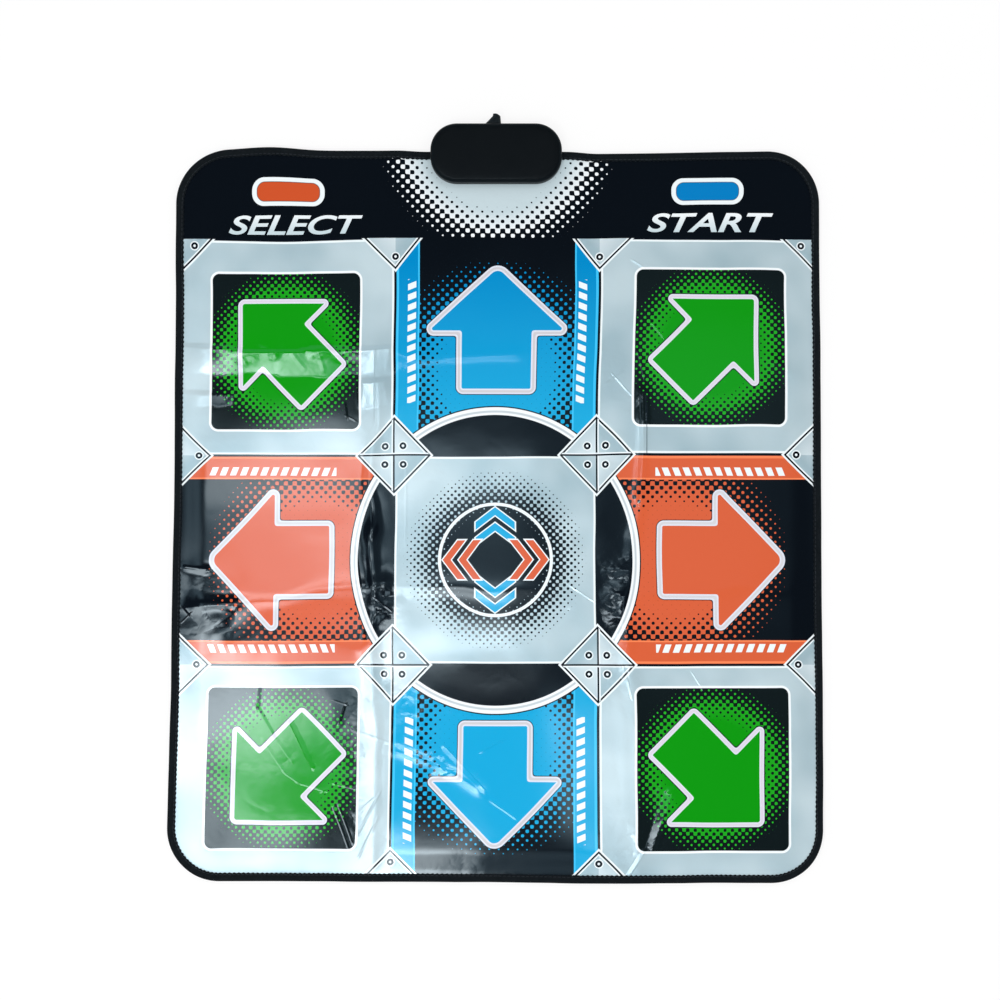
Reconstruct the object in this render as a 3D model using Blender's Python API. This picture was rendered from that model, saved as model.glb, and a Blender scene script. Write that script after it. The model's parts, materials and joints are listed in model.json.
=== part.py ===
"""Soft dance mat controller: a layered mat with ten foot switches and a clamped control box.

Metres, +Z up. The origin is the centre of the mat, on the floor. +Y points to the
control box, and the player stands facing +Y.
"""

import math

import bmesh
import bpy

# Mat, seen from above
mat_width = 0.830
mat_length = 0.930
mat_corner_radius = 0.068
corner_steps = 9

# Thickness of each layer, from the floor up, and the height of the binding above the floor
floor_clearance = 0.0003
binding_thickness = 0.0006
bottom_cover_thickness = 0.0010
film_thickness = 0.0003
contact_thickness = 0.0002
top_cover_thickness = 0.0006

# Clearances, and how far a switch sinks
seat_gap = 0.0003
window_gap = 0.0005
cutter_reach = 0.001
contact_closed_gap = 0.0005
switch_travel = 0.0028
box_notch_gap = 0.0005

# Edge binding and its stitching
binding_flap = 0.011
stitch_inset = 0.0080
stitch_width = 0.0009
stitch_height = 0.0004

# Eight foot pads
pad_width = 0.184
pad_depth = 0.190
pad_corner_radius = 0.010
pad_corner_steps = 4
contact_margin = 0.006
header_depth = 0.1170
side_pad_margin = 0.034
corner_pad_margin = 0.050
up_pad_drop = 0.013
upper_row_drop = 0.042
down_pad_margin = 0.018
lower_row_margin = 0.044

# Select and start buttons
button_width = 0.0985
button_depth = 0.0390
button_round_steps = 8
button_side_margin = 0.147
button_top_margin = 0.052

# Control box
box_width = 0.168
box_depth = 0.076
box_height = 0.023
box_overlap = 0.042
box_corner_radius = 0.034
box_corner_steps = 8
box_wall = 0.0020
box_top_wall = 0.0020
box_edge_radius = 0.0055
box_edge_rings = 4
least_radius = 0.001
box_foot_chamfer = 0.0012
box_draft = 0.0006
cover_grip = 0.006

# Film tails and the circuit board
tail_width = 0.044
tail_overlap = 0.009
board_width = 0.096
board_depth = 0.040
board_thickness = 0.0016
board_front_gap = 0.018
board_corner_radius = 0.0015
board_post_spacing = 0.048
clamp_width = 0.064
clamp_depth = 0.008
clamp_height = 0.003
clamp_corner_radius = 0.002
clamp_screw_edge = 0.005
board_post_radius = 0.0030
small_screw_radius = 0.0012
small_head_radius = 0.0024
small_head_height = 0.0016
small_hole_radius = 0.0015
small_bore_sides = 16
screw_sides = 12
head_taper = 0.85
block_edge = 0.0004

# Parts on the board: width, depth, height and place from the board's centre
chip_size = (0.0103, 0.0075, 0.0023)
chip_place = (-0.012, 0.003)
crystal_size = (0.0110, 0.0046, 0.0036)
crystal_place = (-0.030, 0.008)
capacitor_radius = 0.0025
capacitor_height = 0.0070
capacitor_place = (0.026, 0.006)
connector_size = (0.0125, 0.0058, 0.0060)
connector_edge = 0.0015

# Screws that close the box
shell_post_inset_x = 0.022
shell_post_inset_y = 0.016
shell_post_radius = 0.0045
shell_post_height = 0.0061
boss_radius = 0.0038
shell_screw_radius = 0.0014
shell_hole_radius = 0.0017
shell_head_radius = 0.0031
shell_head_height = 0.0019
shell_head_recess = 0.0004
shell_screw_length = 0.0127
shell_bore_spare = 0.0010

# Boot where the cord comes out
boot_neck_width = 0.0132
boot_neck_height = 0.0090
boot_flange_width = 0.0190
boot_flange_height = 0.0116
boot_flange_thickness = 0.0018
boot_base_width = 0.0240
boot_base_height = 0.0136
boot_tip_width = 0.0100
boot_tip_height = 0.0092
boot_length = 0.0135
boot_bore_radius = 0.0026
boot_sides = 16
boot_squareness = 0.8
boot_rings = 4

# Levels that follow from the layers
low_flap_top = floor_clearance + binding_thickness
bottom_rim = low_flap_top + seat_gap
bottom_top = bottom_rim + bottom_cover_thickness
lower_film_base = bottom_top + seat_gap
lower_film_top = lower_film_base + film_thickness
lower_contact_base = lower_film_top + seat_gap
lower_contact_top = lower_contact_base + contact_thickness
foam_base = lower_film_top + seat_gap
upper_film_base = lower_contact_top + contact_closed_gap + switch_travel
foam_top = upper_film_base - seat_gap
upper_film_top = upper_film_base + film_thickness
cover_base = upper_film_top + seat_gap
cover_top = cover_base + top_cover_thickness
flap_base = cover_top + seat_gap
flap_top = flap_base + binding_thickness
stitch_base = flap_top + seat_gap

# Places that follow from the outlines
sheet_inset = binding_thickness + seat_gap
half_width = mat_width / 2
half_length = mat_length / 2
header_line = half_length - header_depth
middle_row = (header_line - half_length) / 2
box_front = half_length - box_overlap
box_middle = box_front + box_depth / 2
box_back = box_front + box_depth
board_middle = box_front + board_front_gap + board_depth / 2
board_front = board_middle - board_depth / 2
board_top = foam_top
board_base = board_top - board_thickness
side_column = half_width - side_pad_margin - pad_width / 2
corner_column = half_width - corner_pad_margin - pad_width / 2
up_row = header_line - up_pad_drop - pad_depth / 2
upper_row = header_line - upper_row_drop - pad_depth / 2
lower_row = lower_row_margin + pad_depth / 2 - half_length
down_row = down_pad_margin + pad_depth / 2 - half_length
button_column = half_width - button_side_margin
button_row = half_length - button_top_margin

pad_places = {
    "up": (0.0, up_row),
    "down": (0.0, down_row),
    "left": (-side_column, middle_row),
    "right": (side_column, middle_row),
    "up_left": (-corner_column, upper_row),
    "up_right": (corner_column, upper_row),
    "down_left": (-corner_column, lower_row),
    "down_right": (corner_column, lower_row),
}
button_places = {
    "select": (-button_column, button_row),
    "start": (button_column, button_row),
}


def clear_scene():
    for old in list(bpy.data.objects):
        bpy.data.objects.remove(old, do_unlink=True)


def make_material(name, colour, roughness, metallic=0.0):
    material = bpy.data.materials.new(name)
    material.use_nodes = True
    shader = material.node_tree.nodes["Principled BSDF"]
    shader.inputs["Base Color"].default_value = (*colour, 1.0)
    shader.inputs["Roughness"].default_value = roughness
    shader.inputs["Metallic"].default_value = metallic
    return material


def rounded_outline(width, depth, radius, steps, centre=(0.0, 0.0)):
    """Points of a rounded rectangle, counter-clockwise."""
    radius = min(radius, width / 2, depth / 2)
    corners = [(1, 1, 0.0), (-1, 1, 0.5), (-1, -1, 1.0), (1, -1, 1.5)]
    points = []
    for side_x, side_y, turn in corners:
        corner_x = centre[0] + side_x * (width / 2 - radius)
        corner_y = centre[1] + side_y * (depth / 2 - radius)
        for step in range(steps + 1):
            angle = math.pi * (turn + 0.5 * step / steps)
            points.append((corner_x + radius * math.cos(angle), corner_y + radius * math.sin(angle)))
    return drop_repeats(points)


def drop_repeats(points):
    kept = []
    for point in points:
        if not kept or math.dist(point, kept[-1]) > 1e-6:
            kept.append(point)
    if math.dist(kept[0], kept[-1]) < 1e-6:
        kept.pop()
    return kept


def circle_outline(radius, sides, centre=(0.0, 0.0)):
    turns = [2 * math.pi * step / sides for step in range(sides)]
    return [(centre[0] + radius * math.cos(a), centre[1] + radius * math.sin(a)) for a in turns]


def rectangle(width, depth, centre=(0.0, 0.0)):
    x, y = centre
    return [
        (x + width / 2, y + depth / 2),
        (x - width / 2, y + depth / 2),
        (x - width / 2, y - depth / 2),
        (x + width / 2, y - depth / 2),
    ]


def finish_mesh(name, mesh_data, material, place=(0.0, 0.0, 0.0), smooth_angle=None):
    bmesh.ops.recalc_face_normals(mesh_data, faces=mesh_data.faces)
    mesh = bpy.data.meshes.new(name)
    mesh_data.to_mesh(mesh)
    mesh_data.free()
    piece = bpy.data.objects.new(name, mesh)
    bpy.context.scene.collection.objects.link(piece)
    piece.location = place
    if material:
        mesh.materials.append(material)
    if smooth_angle:
        mesh.shade_smooth()
        mesh.set_sharp_from_angle(angle=smooth_angle)
    return piece


def make_prism(name, outline, base, top, material=None, holes=(), place=(0.0, 0.0, 0.0)):
    """A flat sheet or block of one outline, with through holes."""
    data = bmesh.new()
    for loop in (outline, *holes):
        verts = [data.verts.new((x, y, base)) for x, y in loop]
        for first, second in zip(verts, verts[1:] + verts[:1]):
            data.edges.new((first, second))
    bmesh.ops.triangle_fill(data, edges=data.edges[:], use_beauty=True, use_dissolve=False)
    lifted = bmesh.ops.extrude_face_region(data, geom=data.faces[:])
    new_verts = [item for item in lifted["geom"] if isinstance(item, bmesh.types.BMVert)]
    bmesh.ops.translate(data, verts=new_verts, vec=(0.0, 0.0, top - base))
    return finish_mesh(name, data, material, place)


def make_stack(name, loops, material=None, closed_ring=False, place=(0.0, 0.0, 0.0), smooth_angle=None):
    """A solid through a row of loops of 3D points, capped, or joined end to start as a ring."""
    data = bmesh.new()
    rings = [[data.verts.new(point) for point in loop] for loop in loops]
    pairs = list(zip(rings, rings[1:]))
    if closed_ring:
        pairs.append((rings[-1], rings[0]))
    for lower, upper in pairs:
        for index in range(len(lower)):
            following = (index + 1) % len(lower)
            data.faces.new((lower[index], lower[following], upper[following], upper[index]))
    if not closed_ring:
        data.faces.new(rings[0][::-1])
        data.faces.new(rings[-1])
    return finish_mesh(name, data, material, place, smooth_angle)


def make_turned(name, profile, material=None, centre=(0.0, 0.0), sides=small_bore_sides):
    """A round solid about a vertical axis from (radius, height) pairs."""
    loops = []
    for radius, height in profile:
        loops.append([(x, y, height) for x, y in circle_outline(radius, sides, centre)])
    return make_stack(name, loops, material, smooth_angle=math.radians(35))


def make_block(name, size, base, centre, material):
    """A small block whose top edges are bevelled."""
    width, depth, height = size
    top = base + height
    levels = [(base, 0.0), (top - block_edge, 0.0), (top, block_edge)]
    loops = []
    for level, inset in levels:
        corners = rectangle(width - 2 * inset, depth - 2 * inset, centre)
        loops.append([(x, y, level) for x, y in corners])
    return make_stack(name, loops, material)


def combine(piece, tool, operation):
    """Cut the tool out of the piece, or join it on. The tool is hidden."""
    modifier = piece.modifiers.new(tool.name, "BOOLEAN")
    modifier.object = tool
    modifier.operation = operation
    modifier.solver = "EXACT"
    tool.hide_render = True
    tool.display_type = "WIRE"


def mat_outline(inset):
    return rounded_outline(
        mat_width - 2 * inset,
        mat_length - 2 * inset,
        mat_corner_radius - inset,
        corner_steps,
    )


def box_outline(grow):
    radius = min(box_corner_radius, box_depth / 2 - least_radius) + grow
    return rounded_outline(
        box_width + 2 * grow,
        box_depth + 2 * grow,
        radius,
        box_corner_steps,
        (0.0, box_middle),
    )


def pad_outline(grow, centre=(0.0, 0.0)):
    return rounded_outline(
        pad_width + 2 * grow,
        pad_depth + 2 * grow,
        pad_corner_radius + max(grow, 0.0),
        pad_corner_steps,
        centre,
    )


def button_outline(grow, centre=(0.0, 0.0)):
    return rounded_outline(
        button_width + 2 * grow,
        button_depth + 2 * grow,
        button_depth / 2 + grow,
        button_round_steps,
        centre,
    )


def switch_windows():
    """The ten openings above the switches, each a running gap wider than what moves in it."""
    windows = [pad_outline(window_gap, place) for place in pad_places.values()]
    windows += [button_outline(window_gap, place) for place in button_places.values()]
    return windows


def cut_box_notch(piece, grow, base, top):
    """Take the control box's footprint out of one layer."""
    name = piece.name + "_notch_tool"
    tool = make_prism(name, box_outline(grow), base - cutter_reach, top + cutter_reach)
    combine(piece, tool, "DIFFERENCE")


def add_tail(piece, base, top):
    """The strip of a film that runs from the mat on to the circuit board."""
    start = box_front - box_notch_gap - tail_overlap
    end = board_front + tail_overlap
    strip = rectangle(tail_width, end - start, (0.0, (start + end) / 2))
    tool = make_prism(piece.name + "_tail_tool", strip, base, top)
    combine(piece, tool, "UNION")


def build_bottom_cover():
    """Anti-slip sheet whose gripping face stands on the floor inside the binding's flap."""
    grip_inset = binding_flap + window_gap
    material = make_material("anti_slip_sheet", (0.035, 0.036, 0.040), 0.85)
    levels = [
        (0.0, grip_inset),
        (bottom_rim, grip_inset),
        (bottom_rim, sheet_inset),
        (bottom_top, sheet_inset),
    ]
    loops = [[(x, y, level) for x, y in mat_outline(inset)] for level, inset in levels]
    piece = make_stack("bottom_cover", loops, material)
    cut_box_notch(piece, box_notch_gap, 0.0, bottom_top)


def build_films():
    """Two printed circuit films. The upper one is open above each switch."""
    material = make_material("lower_circuit_film", (0.62, 0.66, 0.64), 0.35)
    lower = make_prism("lower_film", mat_outline(sheet_inset), lower_film_base, lower_film_top, material)
    cut_box_notch(lower, box_notch_gap, lower_film_base, lower_film_top)
    add_tail(lower, lower_film_base, lower_film_top)

    material = make_material("upper_circuit_film", (0.66, 0.70, 0.68), 0.35)
    outline = mat_outline(sheet_inset)
    upper = make_prism("upper_film", outline, upper_film_base, upper_film_top, material, switch_windows())
    cut_box_notch(upper, box_notch_gap, upper_film_base, upper_film_top)
    add_tail(upper, upper_film_base, upper_film_top)


def build_spacer_foam():
    material = make_material("spacer_foam", (0.30, 0.31, 0.33), 0.9)
    outline = mat_outline(sheet_inset)
    piece = make_prism("spacer_foam", outline, foam_base, foam_top, material, switch_windows())
    cut_box_notch(piece, box_notch_gap, foam_base, foam_top)


def build_top_cover():
    """Printed film whose edge is gripped between the two shells of the box."""
    material = make_material("printed_cover", (0.55, 0.62, 0.66), 0.22)
    outline = mat_outline(sheet_inset)
    piece = make_prism("top_cover", outline, cover_base, cover_top, material, switch_windows())
    cut_box_notch(piece, -cover_grip, cover_base, cover_top)


def edge_stations(inset, end_gap):
    """Plan points and outward normals along the mat's edge, from one side of the box to the other."""
    outer = mat_outline(0.0)
    inner = mat_outline(inset)
    stations = []
    for outer_point, inner_point in zip(outer, inner):
        length = math.dist(outer_point, inner_point)
        normal = ((outer_point[0] - inner_point[0]) / length, (outer_point[1] - inner_point[1]) / length)
        stations.append((outer_point, normal))
    first_corner = stations[: corner_steps + 1]
    rest = stations[corner_steps + 1:]
    end_x = box_width / 2 + end_gap
    right_end = ((end_x, half_length), (0.0, 1.0))
    left_end = ((-end_x, half_length), (0.0, 1.0))
    second_corner = rest[: corner_steps + 1]
    lower_corners = rest[corner_steps + 1:]
    return [left_end, *second_corner, *lower_corners, *first_corner, right_end]


def sweep_edge(name, profile, end_gap, material):
    """Carry a closed profile of (inset, height) points along the mat's edge."""
    loops = []
    for (x, y), (normal_x, normal_y) in edge_stations(mat_corner_radius / 2, end_gap):
        loops.append([(x - inset * normal_x, y - inset * normal_y, height) for inset, height in profile])
    return make_stack(name, loops, material)


def build_edge_binding():
    """Woven tape folded over the edges of all the layers."""
    fold = binding_thickness
    profile = [
        (binding_flap, floor_clearance),
        (2 * fold, floor_clearance),
        (0.0, floor_clearance + 2 * fold),
        (0.0, flap_top - 2 * fold),
        (2 * fold, flap_top),
        (binding_flap, flap_top),
        (binding_flap, flap_base),
        (fold, flap_base),
        (fold, low_flap_top),
        (binding_flap, low_flap_top),
    ]
    material = make_material("binding_tape", (0.012, 0.013, 0.016), 0.7)
    sweep_edge("edge_binding", profile, box_notch_gap, material)


def build_binding_stitch():
    """The seam thread, as one low ridge on the binding."""
    near = stitch_inset - stitch_width / 2
    far = stitch_inset + stitch_width / 2
    top = stitch_base + stitch_height
    profile = [(far, stitch_base), (near, stitch_base), (near, top), (far, top)]
    material = make_material("seam_thread", (0.020, 0.021, 0.024), 0.6)
    sweep_edge("binding_stitch", profile, box_notch_gap + stitch_inset, material)


def build_switch(name, outline, place, colour):
    """One foot switch: the cover patch that sinks, the contact under it and the fixed contact."""
    place_3d = (place[0], place[1], 0.0)
    patch_material = make_material(name + "_print", colour, 0.22)
    make_prism(name + "_pad", outline(0.0), cover_base, cover_top, patch_material, (), place_3d)

    foil = make_material(name + "_upper_foil", (0.75, 0.76, 0.78), 0.3, 1.0)
    make_prism(
        name + "_upper_contact", outline(0.0), upper_film_base, upper_film_top, foil, (), place_3d
    )

    fixed_foil = make_material(name + "_lower_foil", (0.72, 0.73, 0.75), 0.3, 1.0)
    make_prism(
        name + "_lower_contact",
        outline(-contact_margin),
        lower_contact_base,
        lower_contact_top,
        fixed_foil,
        (),
        place_3d,
    )


def build_switches():
    colours = {
        "up": (0.01, 0.27, 0.68),
        "down": (0.01, 0.27, 0.68),
        "left": (0.69, 0.12, 0.05),
        "right": (0.69, 0.12, 0.05),
    }
    green = (0.01, 0.32, 0.02)
    for name, place in pad_places.items():
        build_switch(name, pad_outline, place, colours.get(name, green))
    build_switch("select", button_outline, button_places["select"], (0.66, 0.10, 0.03))
    build_switch("start", button_outline, button_places["start"], (0.01, 0.22, 0.61))


def shell_post_places():
    half_x = box_width / 2 - shell_post_inset_x
    half_y = box_depth / 2 - shell_post_inset_y
    return [(side_x * half_x, box_middle + side_y * half_y) for side_y in (-1, 1) for side_x in (-1, 1)]


def clamp_screw_places():
    half_x = clamp_width / 2 - clamp_screw_edge
    return [(side * half_x, clamp_middle()) for side in (-1, 1)]


def clamp_middle():
    return board_front + tail_overlap - clamp_depth / 2


def board_post_places():
    """Two posts take the clamp screws, and two more hold up the board's back edge."""
    back = board_middle + board_depth / 2 - board_post_radius
    return clamp_screw_places() + [(side * board_post_spacing / 2, back) for side in (-1, 1)]


def neck_outline(grow):
    """The boot's neck and its seat in the shells, seen along Y, as (x, z) points."""
    return section_outline(boot_neck_width + 2 * grow, boot_neck_height + 2 * grow)


def section_outline(width, height):
    """An oval of four-sided roundness, centred on the boot's axis."""
    points = []
    for step in range(boot_sides):
        angle = 2 * math.pi * (step + 0.5) / boot_sides
        across = math.copysign(abs(math.cos(angle)) ** boot_squareness, math.cos(angle))
        up = math.copysign(abs(math.sin(angle)) ** boot_squareness, math.sin(angle))
        points.append((across * width / 2, boot_axis_height() + up * height / 2))
    return points


def boot_axis_height():
    return box_height / 2


def cut_boot_seat(shell, open_from, open_to):
    """Let the boot's neck through the back wall, open to the joint between the shells."""
    near = box_back - 2 * box_wall
    far = box_back + box_wall
    seat = neck_outline(seat_gap)
    round_tool = make_stack(
        shell.name + "_seat_tool",
        [[(x, near, z) for x, z in seat], [(x, far, z) for x, z in seat]],
    )
    combine(shell, round_tool, "DIFFERENCE")
    slot = rectangle(boot_neck_width + 2 * seat_gap, far - near, (0.0, (near + far) / 2))
    slot_tool = make_prism(shell.name + "_slot_tool", slot, open_from, open_to)
    combine(shell, slot_tool, "DIFFERENCE")


def build_lower_shell():
    """Tray with the board's posts, four screw posts and the ways in for the film tails."""
    material = make_material("lower_shell_plastic", (0.014, 0.015, 0.018), 0.5)
    wall_top = upper_film_top
    chamfer = box_foot_chamfer
    levels = [(0.0, -chamfer), (chamfer, 0.0), (wall_top, 0.0)]
    loops = [[(x, y, level) for x, y in box_outline(grow)] for level, grow in levels]
    shell = make_stack("box_lower_shell", loops, material, smooth_angle=math.radians(30))
    cavity = make_prism("lower_cavity_tool", box_outline(-box_wall), bottom_top, wall_top + cutter_reach)
    combine(shell, cavity, "DIFFERENCE")

    post_top = bottom_top + shell_post_height
    for index, centre in enumerate(shell_post_places(), 1):
        solid = [(shell_post_radius, bottom_top / 2), (shell_post_radius, post_top)]
        combine(shell, make_turned(f"shell_post_tool_{index}", solid, None, centre), "UNION")
    for index, centre in enumerate(shell_post_places(), 1):
        head_seat = shell_head_recess + shell_head_height + seat_gap
        bore = [
            (shell_head_radius + seat_gap, -cutter_reach),
            (shell_head_radius + seat_gap, head_seat),
            (shell_hole_radius, head_seat),
            (shell_hole_radius, post_top + cutter_reach),
        ]
        combine(shell, make_turned(f"shell_bore_tool_{index}", bore, None, centre), "DIFFERENCE")

    board_post_top = board_base - seat_gap
    for index, centre in enumerate(board_post_places(), 1):
        solid = [(board_post_radius, bottom_top / 2), (board_post_radius, board_post_top)]
        combine(shell, make_turned(f"board_post_tool_{index}", solid, None, centre), "UNION")
    for index, centre in enumerate(clamp_screw_places(), 1):
        bore = [(small_hole_radius, bottom_top), (small_hole_radius, board_post_top + cutter_reach)]
        combine(shell, make_turned(f"board_bore_tool_{index}", bore, None, centre), "DIFFERENCE")

    slot_width = tail_width + 2 * window_gap
    slot = rectangle(slot_width, 3 * box_wall, (0.0, box_front))
    low_slot = make_prism("low_tail_slot_tool", slot, bottom_top, foam_base)
    combine(shell, low_slot, "DIFFERENCE")
    high_slot = make_prism("high_tail_slot_tool", slot, foam_top, wall_top + cutter_reach)
    combine(shell, high_slot, "DIFFERENCE")
    cut_boot_seat(shell, boot_axis_height(), boot_axis_height() + cutter_reach)


def edge_levels(base, wall_top, top, inset, edge_radius, draft):
    """Heights and insets of a lid whose top edge is rounded."""
    levels = [(base, inset), (wall_top, inset + draft)]
    for step in range(1, box_edge_rings + 1):
        angle = math.pi / 2 * step / box_edge_rings
        drop = edge_radius * (1 - math.sin(angle))
        levels.append((top - drop, inset + draft + edge_radius * (1 - math.cos(angle))))
    return levels


def build_upper_shell():
    """Lid with rounded top edges, four screw bosses and a slot over the mat's cover."""
    material = make_material("upper_shell_plastic", (0.014, 0.015, 0.018), 0.32)
    wall_top = box_height - box_edge_radius
    outer_levels = edge_levels(cover_base, wall_top, box_height, 0.0, box_edge_radius, box_draft)
    loops = [[(x, y, level) for x, y in box_outline(-inset)] for level, inset in outer_levels]
    shell = make_stack("box_upper_shell", loops, material, smooth_angle=math.radians(30))

    inner_top = box_height - box_top_wall
    inner_radius = max(box_edge_radius - box_wall, least_radius)
    inner_levels = edge_levels(
        cover_base - cutter_reach, inner_top - inner_radius, inner_top, box_wall, inner_radius, box_draft
    )
    loops = [[(x, y, level) for x, y in box_outline(-inset)] for level, inset in inner_levels]
    combine(shell, make_stack("upper_cavity_tool", loops), "DIFFERENCE")

    boss_base = bottom_top + shell_post_height + seat_gap
    bore_top = shell_head_recess + shell_head_height + shell_screw_length + shell_bore_spare
    for index, centre in enumerate(shell_post_places(), 1):
        solid = [(boss_radius, boss_base), (boss_radius, box_height - box_top_wall / 2)]
        combine(shell, make_turned(f"boss_tool_{index}", solid, None, centre), "UNION")
    for index, centre in enumerate(shell_post_places(), 1):
        bore = [(shell_hole_radius, boss_base - cutter_reach), (shell_hole_radius, bore_top)]
        combine(shell, make_turned(f"boss_bore_tool_{index}", bore, None, centre), "DIFFERENCE")

    slot_front = box_front - box_wall
    slot_back = half_length - sheet_inset + seat_gap
    slot = rectangle(box_width + 2 * box_wall, slot_back - slot_front, (0.0, (slot_back + slot_front) / 2))
    slot_base = cover_base - cutter_reach
    combine(shell, make_prism("cover_slot_tool", slot, slot_base, cover_top + seat_gap), "DIFFERENCE")
    cut_boot_seat(shell, slot_base, boot_axis_height())


def build_circuit_board():
    material = make_material("board_laminate", (0.02, 0.16, 0.07), 0.45)
    holes = [circle_outline(small_hole_radius, small_bore_sides, place) for place in clamp_screw_places()]
    outline = rounded_outline(board_width, board_depth, board_corner_radius, 2, (0.0, board_middle))
    make_prism("circuit_board", outline, board_base, board_top, material, holes)


def build_board_parts():
    """Chip, crystal, capacitor and the cord's connector, soldered on the board."""
    base = board_top + seat_gap
    black = make_material("chip_epoxy", (0.015, 0.015, 0.016), 0.5)
    chip_centre = (chip_place[0], board_middle + chip_place[1])
    make_block("controller_chip", chip_size, base, chip_centre, black)

    silver = make_material("crystal_can", (0.70, 0.70, 0.72), 0.25, 1.0)
    crystal_centre = (crystal_place[0], board_middle + crystal_place[1])
    make_block("board_crystal", crystal_size, base, crystal_centre, silver)

    sleeve = make_material("capacitor_sleeve", (0.02, 0.03, 0.09), 0.35)
    capacitor_centre = (capacitor_place[0], board_middle + capacitor_place[1])
    top = base + capacitor_height
    profile = [
        (capacitor_radius, base),
        (capacitor_radius, top - block_edge),
        (capacitor_radius - block_edge, top),
    ]
    make_turned("board_capacitor", profile, sleeve, capacitor_centre)

    nylon = make_material("connector_nylon", (0.80, 0.79, 0.74), 0.5)
    back_edge = board_middle + board_depth / 2
    connector_centre = (0.0, back_edge - connector_edge - connector_size[1] / 2)
    make_block("cord_connector", connector_size, base, connector_centre, nylon)


def build_tail_clamp():
    """Bar that presses the upper tail on the board, and the rubber under the board for the lower tail."""
    material = make_material("clamp_plastic", (0.70, 0.70, 0.66), 0.5)
    holes = [circle_outline(small_hole_radius, small_bore_sides, place) for place in clamp_screw_places()]
    centre = (0.0, clamp_middle())
    base = upper_film_top + seat_gap
    outline = rounded_outline(clamp_width, clamp_depth, clamp_corner_radius, 3, centre)
    make_prism("tail_clamp", outline, base, base + clamp_height, material, holes)

    rubber = make_material("pressure_rubber", (0.25, 0.25, 0.26), 0.8)
    strip = rectangle(tail_width, clamp_depth, centre)
    pad_base = lower_film_top + seat_gap
    make_prism("tail_pressure_pad", strip, pad_base, board_base - seat_gap, rubber)


def build_clamp_screws():
    head_base = upper_film_top + seat_gap + clamp_height + seat_gap
    head_top = head_base + small_head_height
    shank_end = bottom_top + seat_gap
    socket = small_head_radius / 2
    for index, centre in enumerate(clamp_screw_places(), 1):
        material = make_material(f"clamp_screw_steel_{index}", (0.60, 0.60, 0.62), 0.3, 1.0)
        profile = [
            (small_screw_radius, shank_end),
            (small_screw_radius, head_base),
            (small_head_radius, head_base),
            (small_head_radius * head_taper, head_top),
            (socket, head_top),
            (socket * 0.6, head_top - small_head_height / 2),
        ]
        make_turned(f"clamp_screw_{index}", profile, material, centre, screw_sides)


def build_shell_screws():
    head_base = shell_head_recess
    head_top = head_base + shell_head_height
    socket = shell_head_radius / 2
    for index, centre in enumerate(shell_post_places(), 1):
        material = make_material(f"shell_screw_steel_{index}", (0.45, 0.45, 0.47), 0.35, 1.0)
        profile = [
            (socket * 0.6, head_base + shell_head_height / 2),
            (socket, head_base),
            (shell_head_radius * head_taper, head_base),
            (shell_head_radius, head_top),
            (shell_screw_radius, head_top),
            (shell_screw_radius, head_top + shell_screw_length),
        ]
        make_turned(f"shell_screw_{index}", profile, material, centre, screw_sides)


def build_cord_boot():
    """Rubber boot held by its flange behind the box's back wall, with a bore for the cord."""
    material = make_material("boot_rubber", (0.012, 0.012, 0.014), 0.55)
    inside = box_back - box_wall - box_draft - seat_gap
    outside = box_back + seat_gap
    tip = outside + boot_length
    stations = [
        (inside - boot_flange_thickness, boot_flange_width, boot_flange_height),
        (inside, boot_flange_width, boot_flange_height),
        (inside, boot_neck_width, boot_neck_height),
        (outside, boot_neck_width, boot_neck_height),
        (outside, boot_base_width, boot_base_height),
    ]
    for step in range(1, boot_rings + 1):
        share = step / boot_rings
        ease = math.sin(share * math.pi / 2)
        width = boot_base_width + (boot_tip_width - boot_base_width) * ease
        height = boot_base_height + (boot_tip_height - boot_base_height) * ease
        stations.append((outside + boot_length * share, width, height))
    loops = [[(x, y, z) for x, z in section_outline(width, height)] for y, width, height in stations]
    bore = []
    for step in range(boot_sides):
        angle = 2 * math.pi * (step + 0.5) / boot_sides
        height = boot_axis_height() + boot_bore_radius * math.sin(angle)
        bore.append((boot_bore_radius * math.cos(angle), height))
    loops.append([(x, tip, z) for x, z in bore])
    loops.append([(x, inside - boot_flange_thickness, z) for x, z in bore])
    make_stack("cord_boot", loops, material, closed_ring=True, smooth_angle=math.radians(35))


def build_part():
    clear_scene()
    build_bottom_cover()
    build_films()
    build_spacer_foam()
    build_top_cover()
    build_edge_binding()
    build_binding_stitch()
    build_switches()
    build_lower_shell()
    build_upper_shell()
    build_circuit_board()
    build_board_parts()
    build_tail_clamp()
    build_clamp_screws()
    build_shell_screws()
    build_cord_boot()


build_part()
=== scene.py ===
import json
import math

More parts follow.
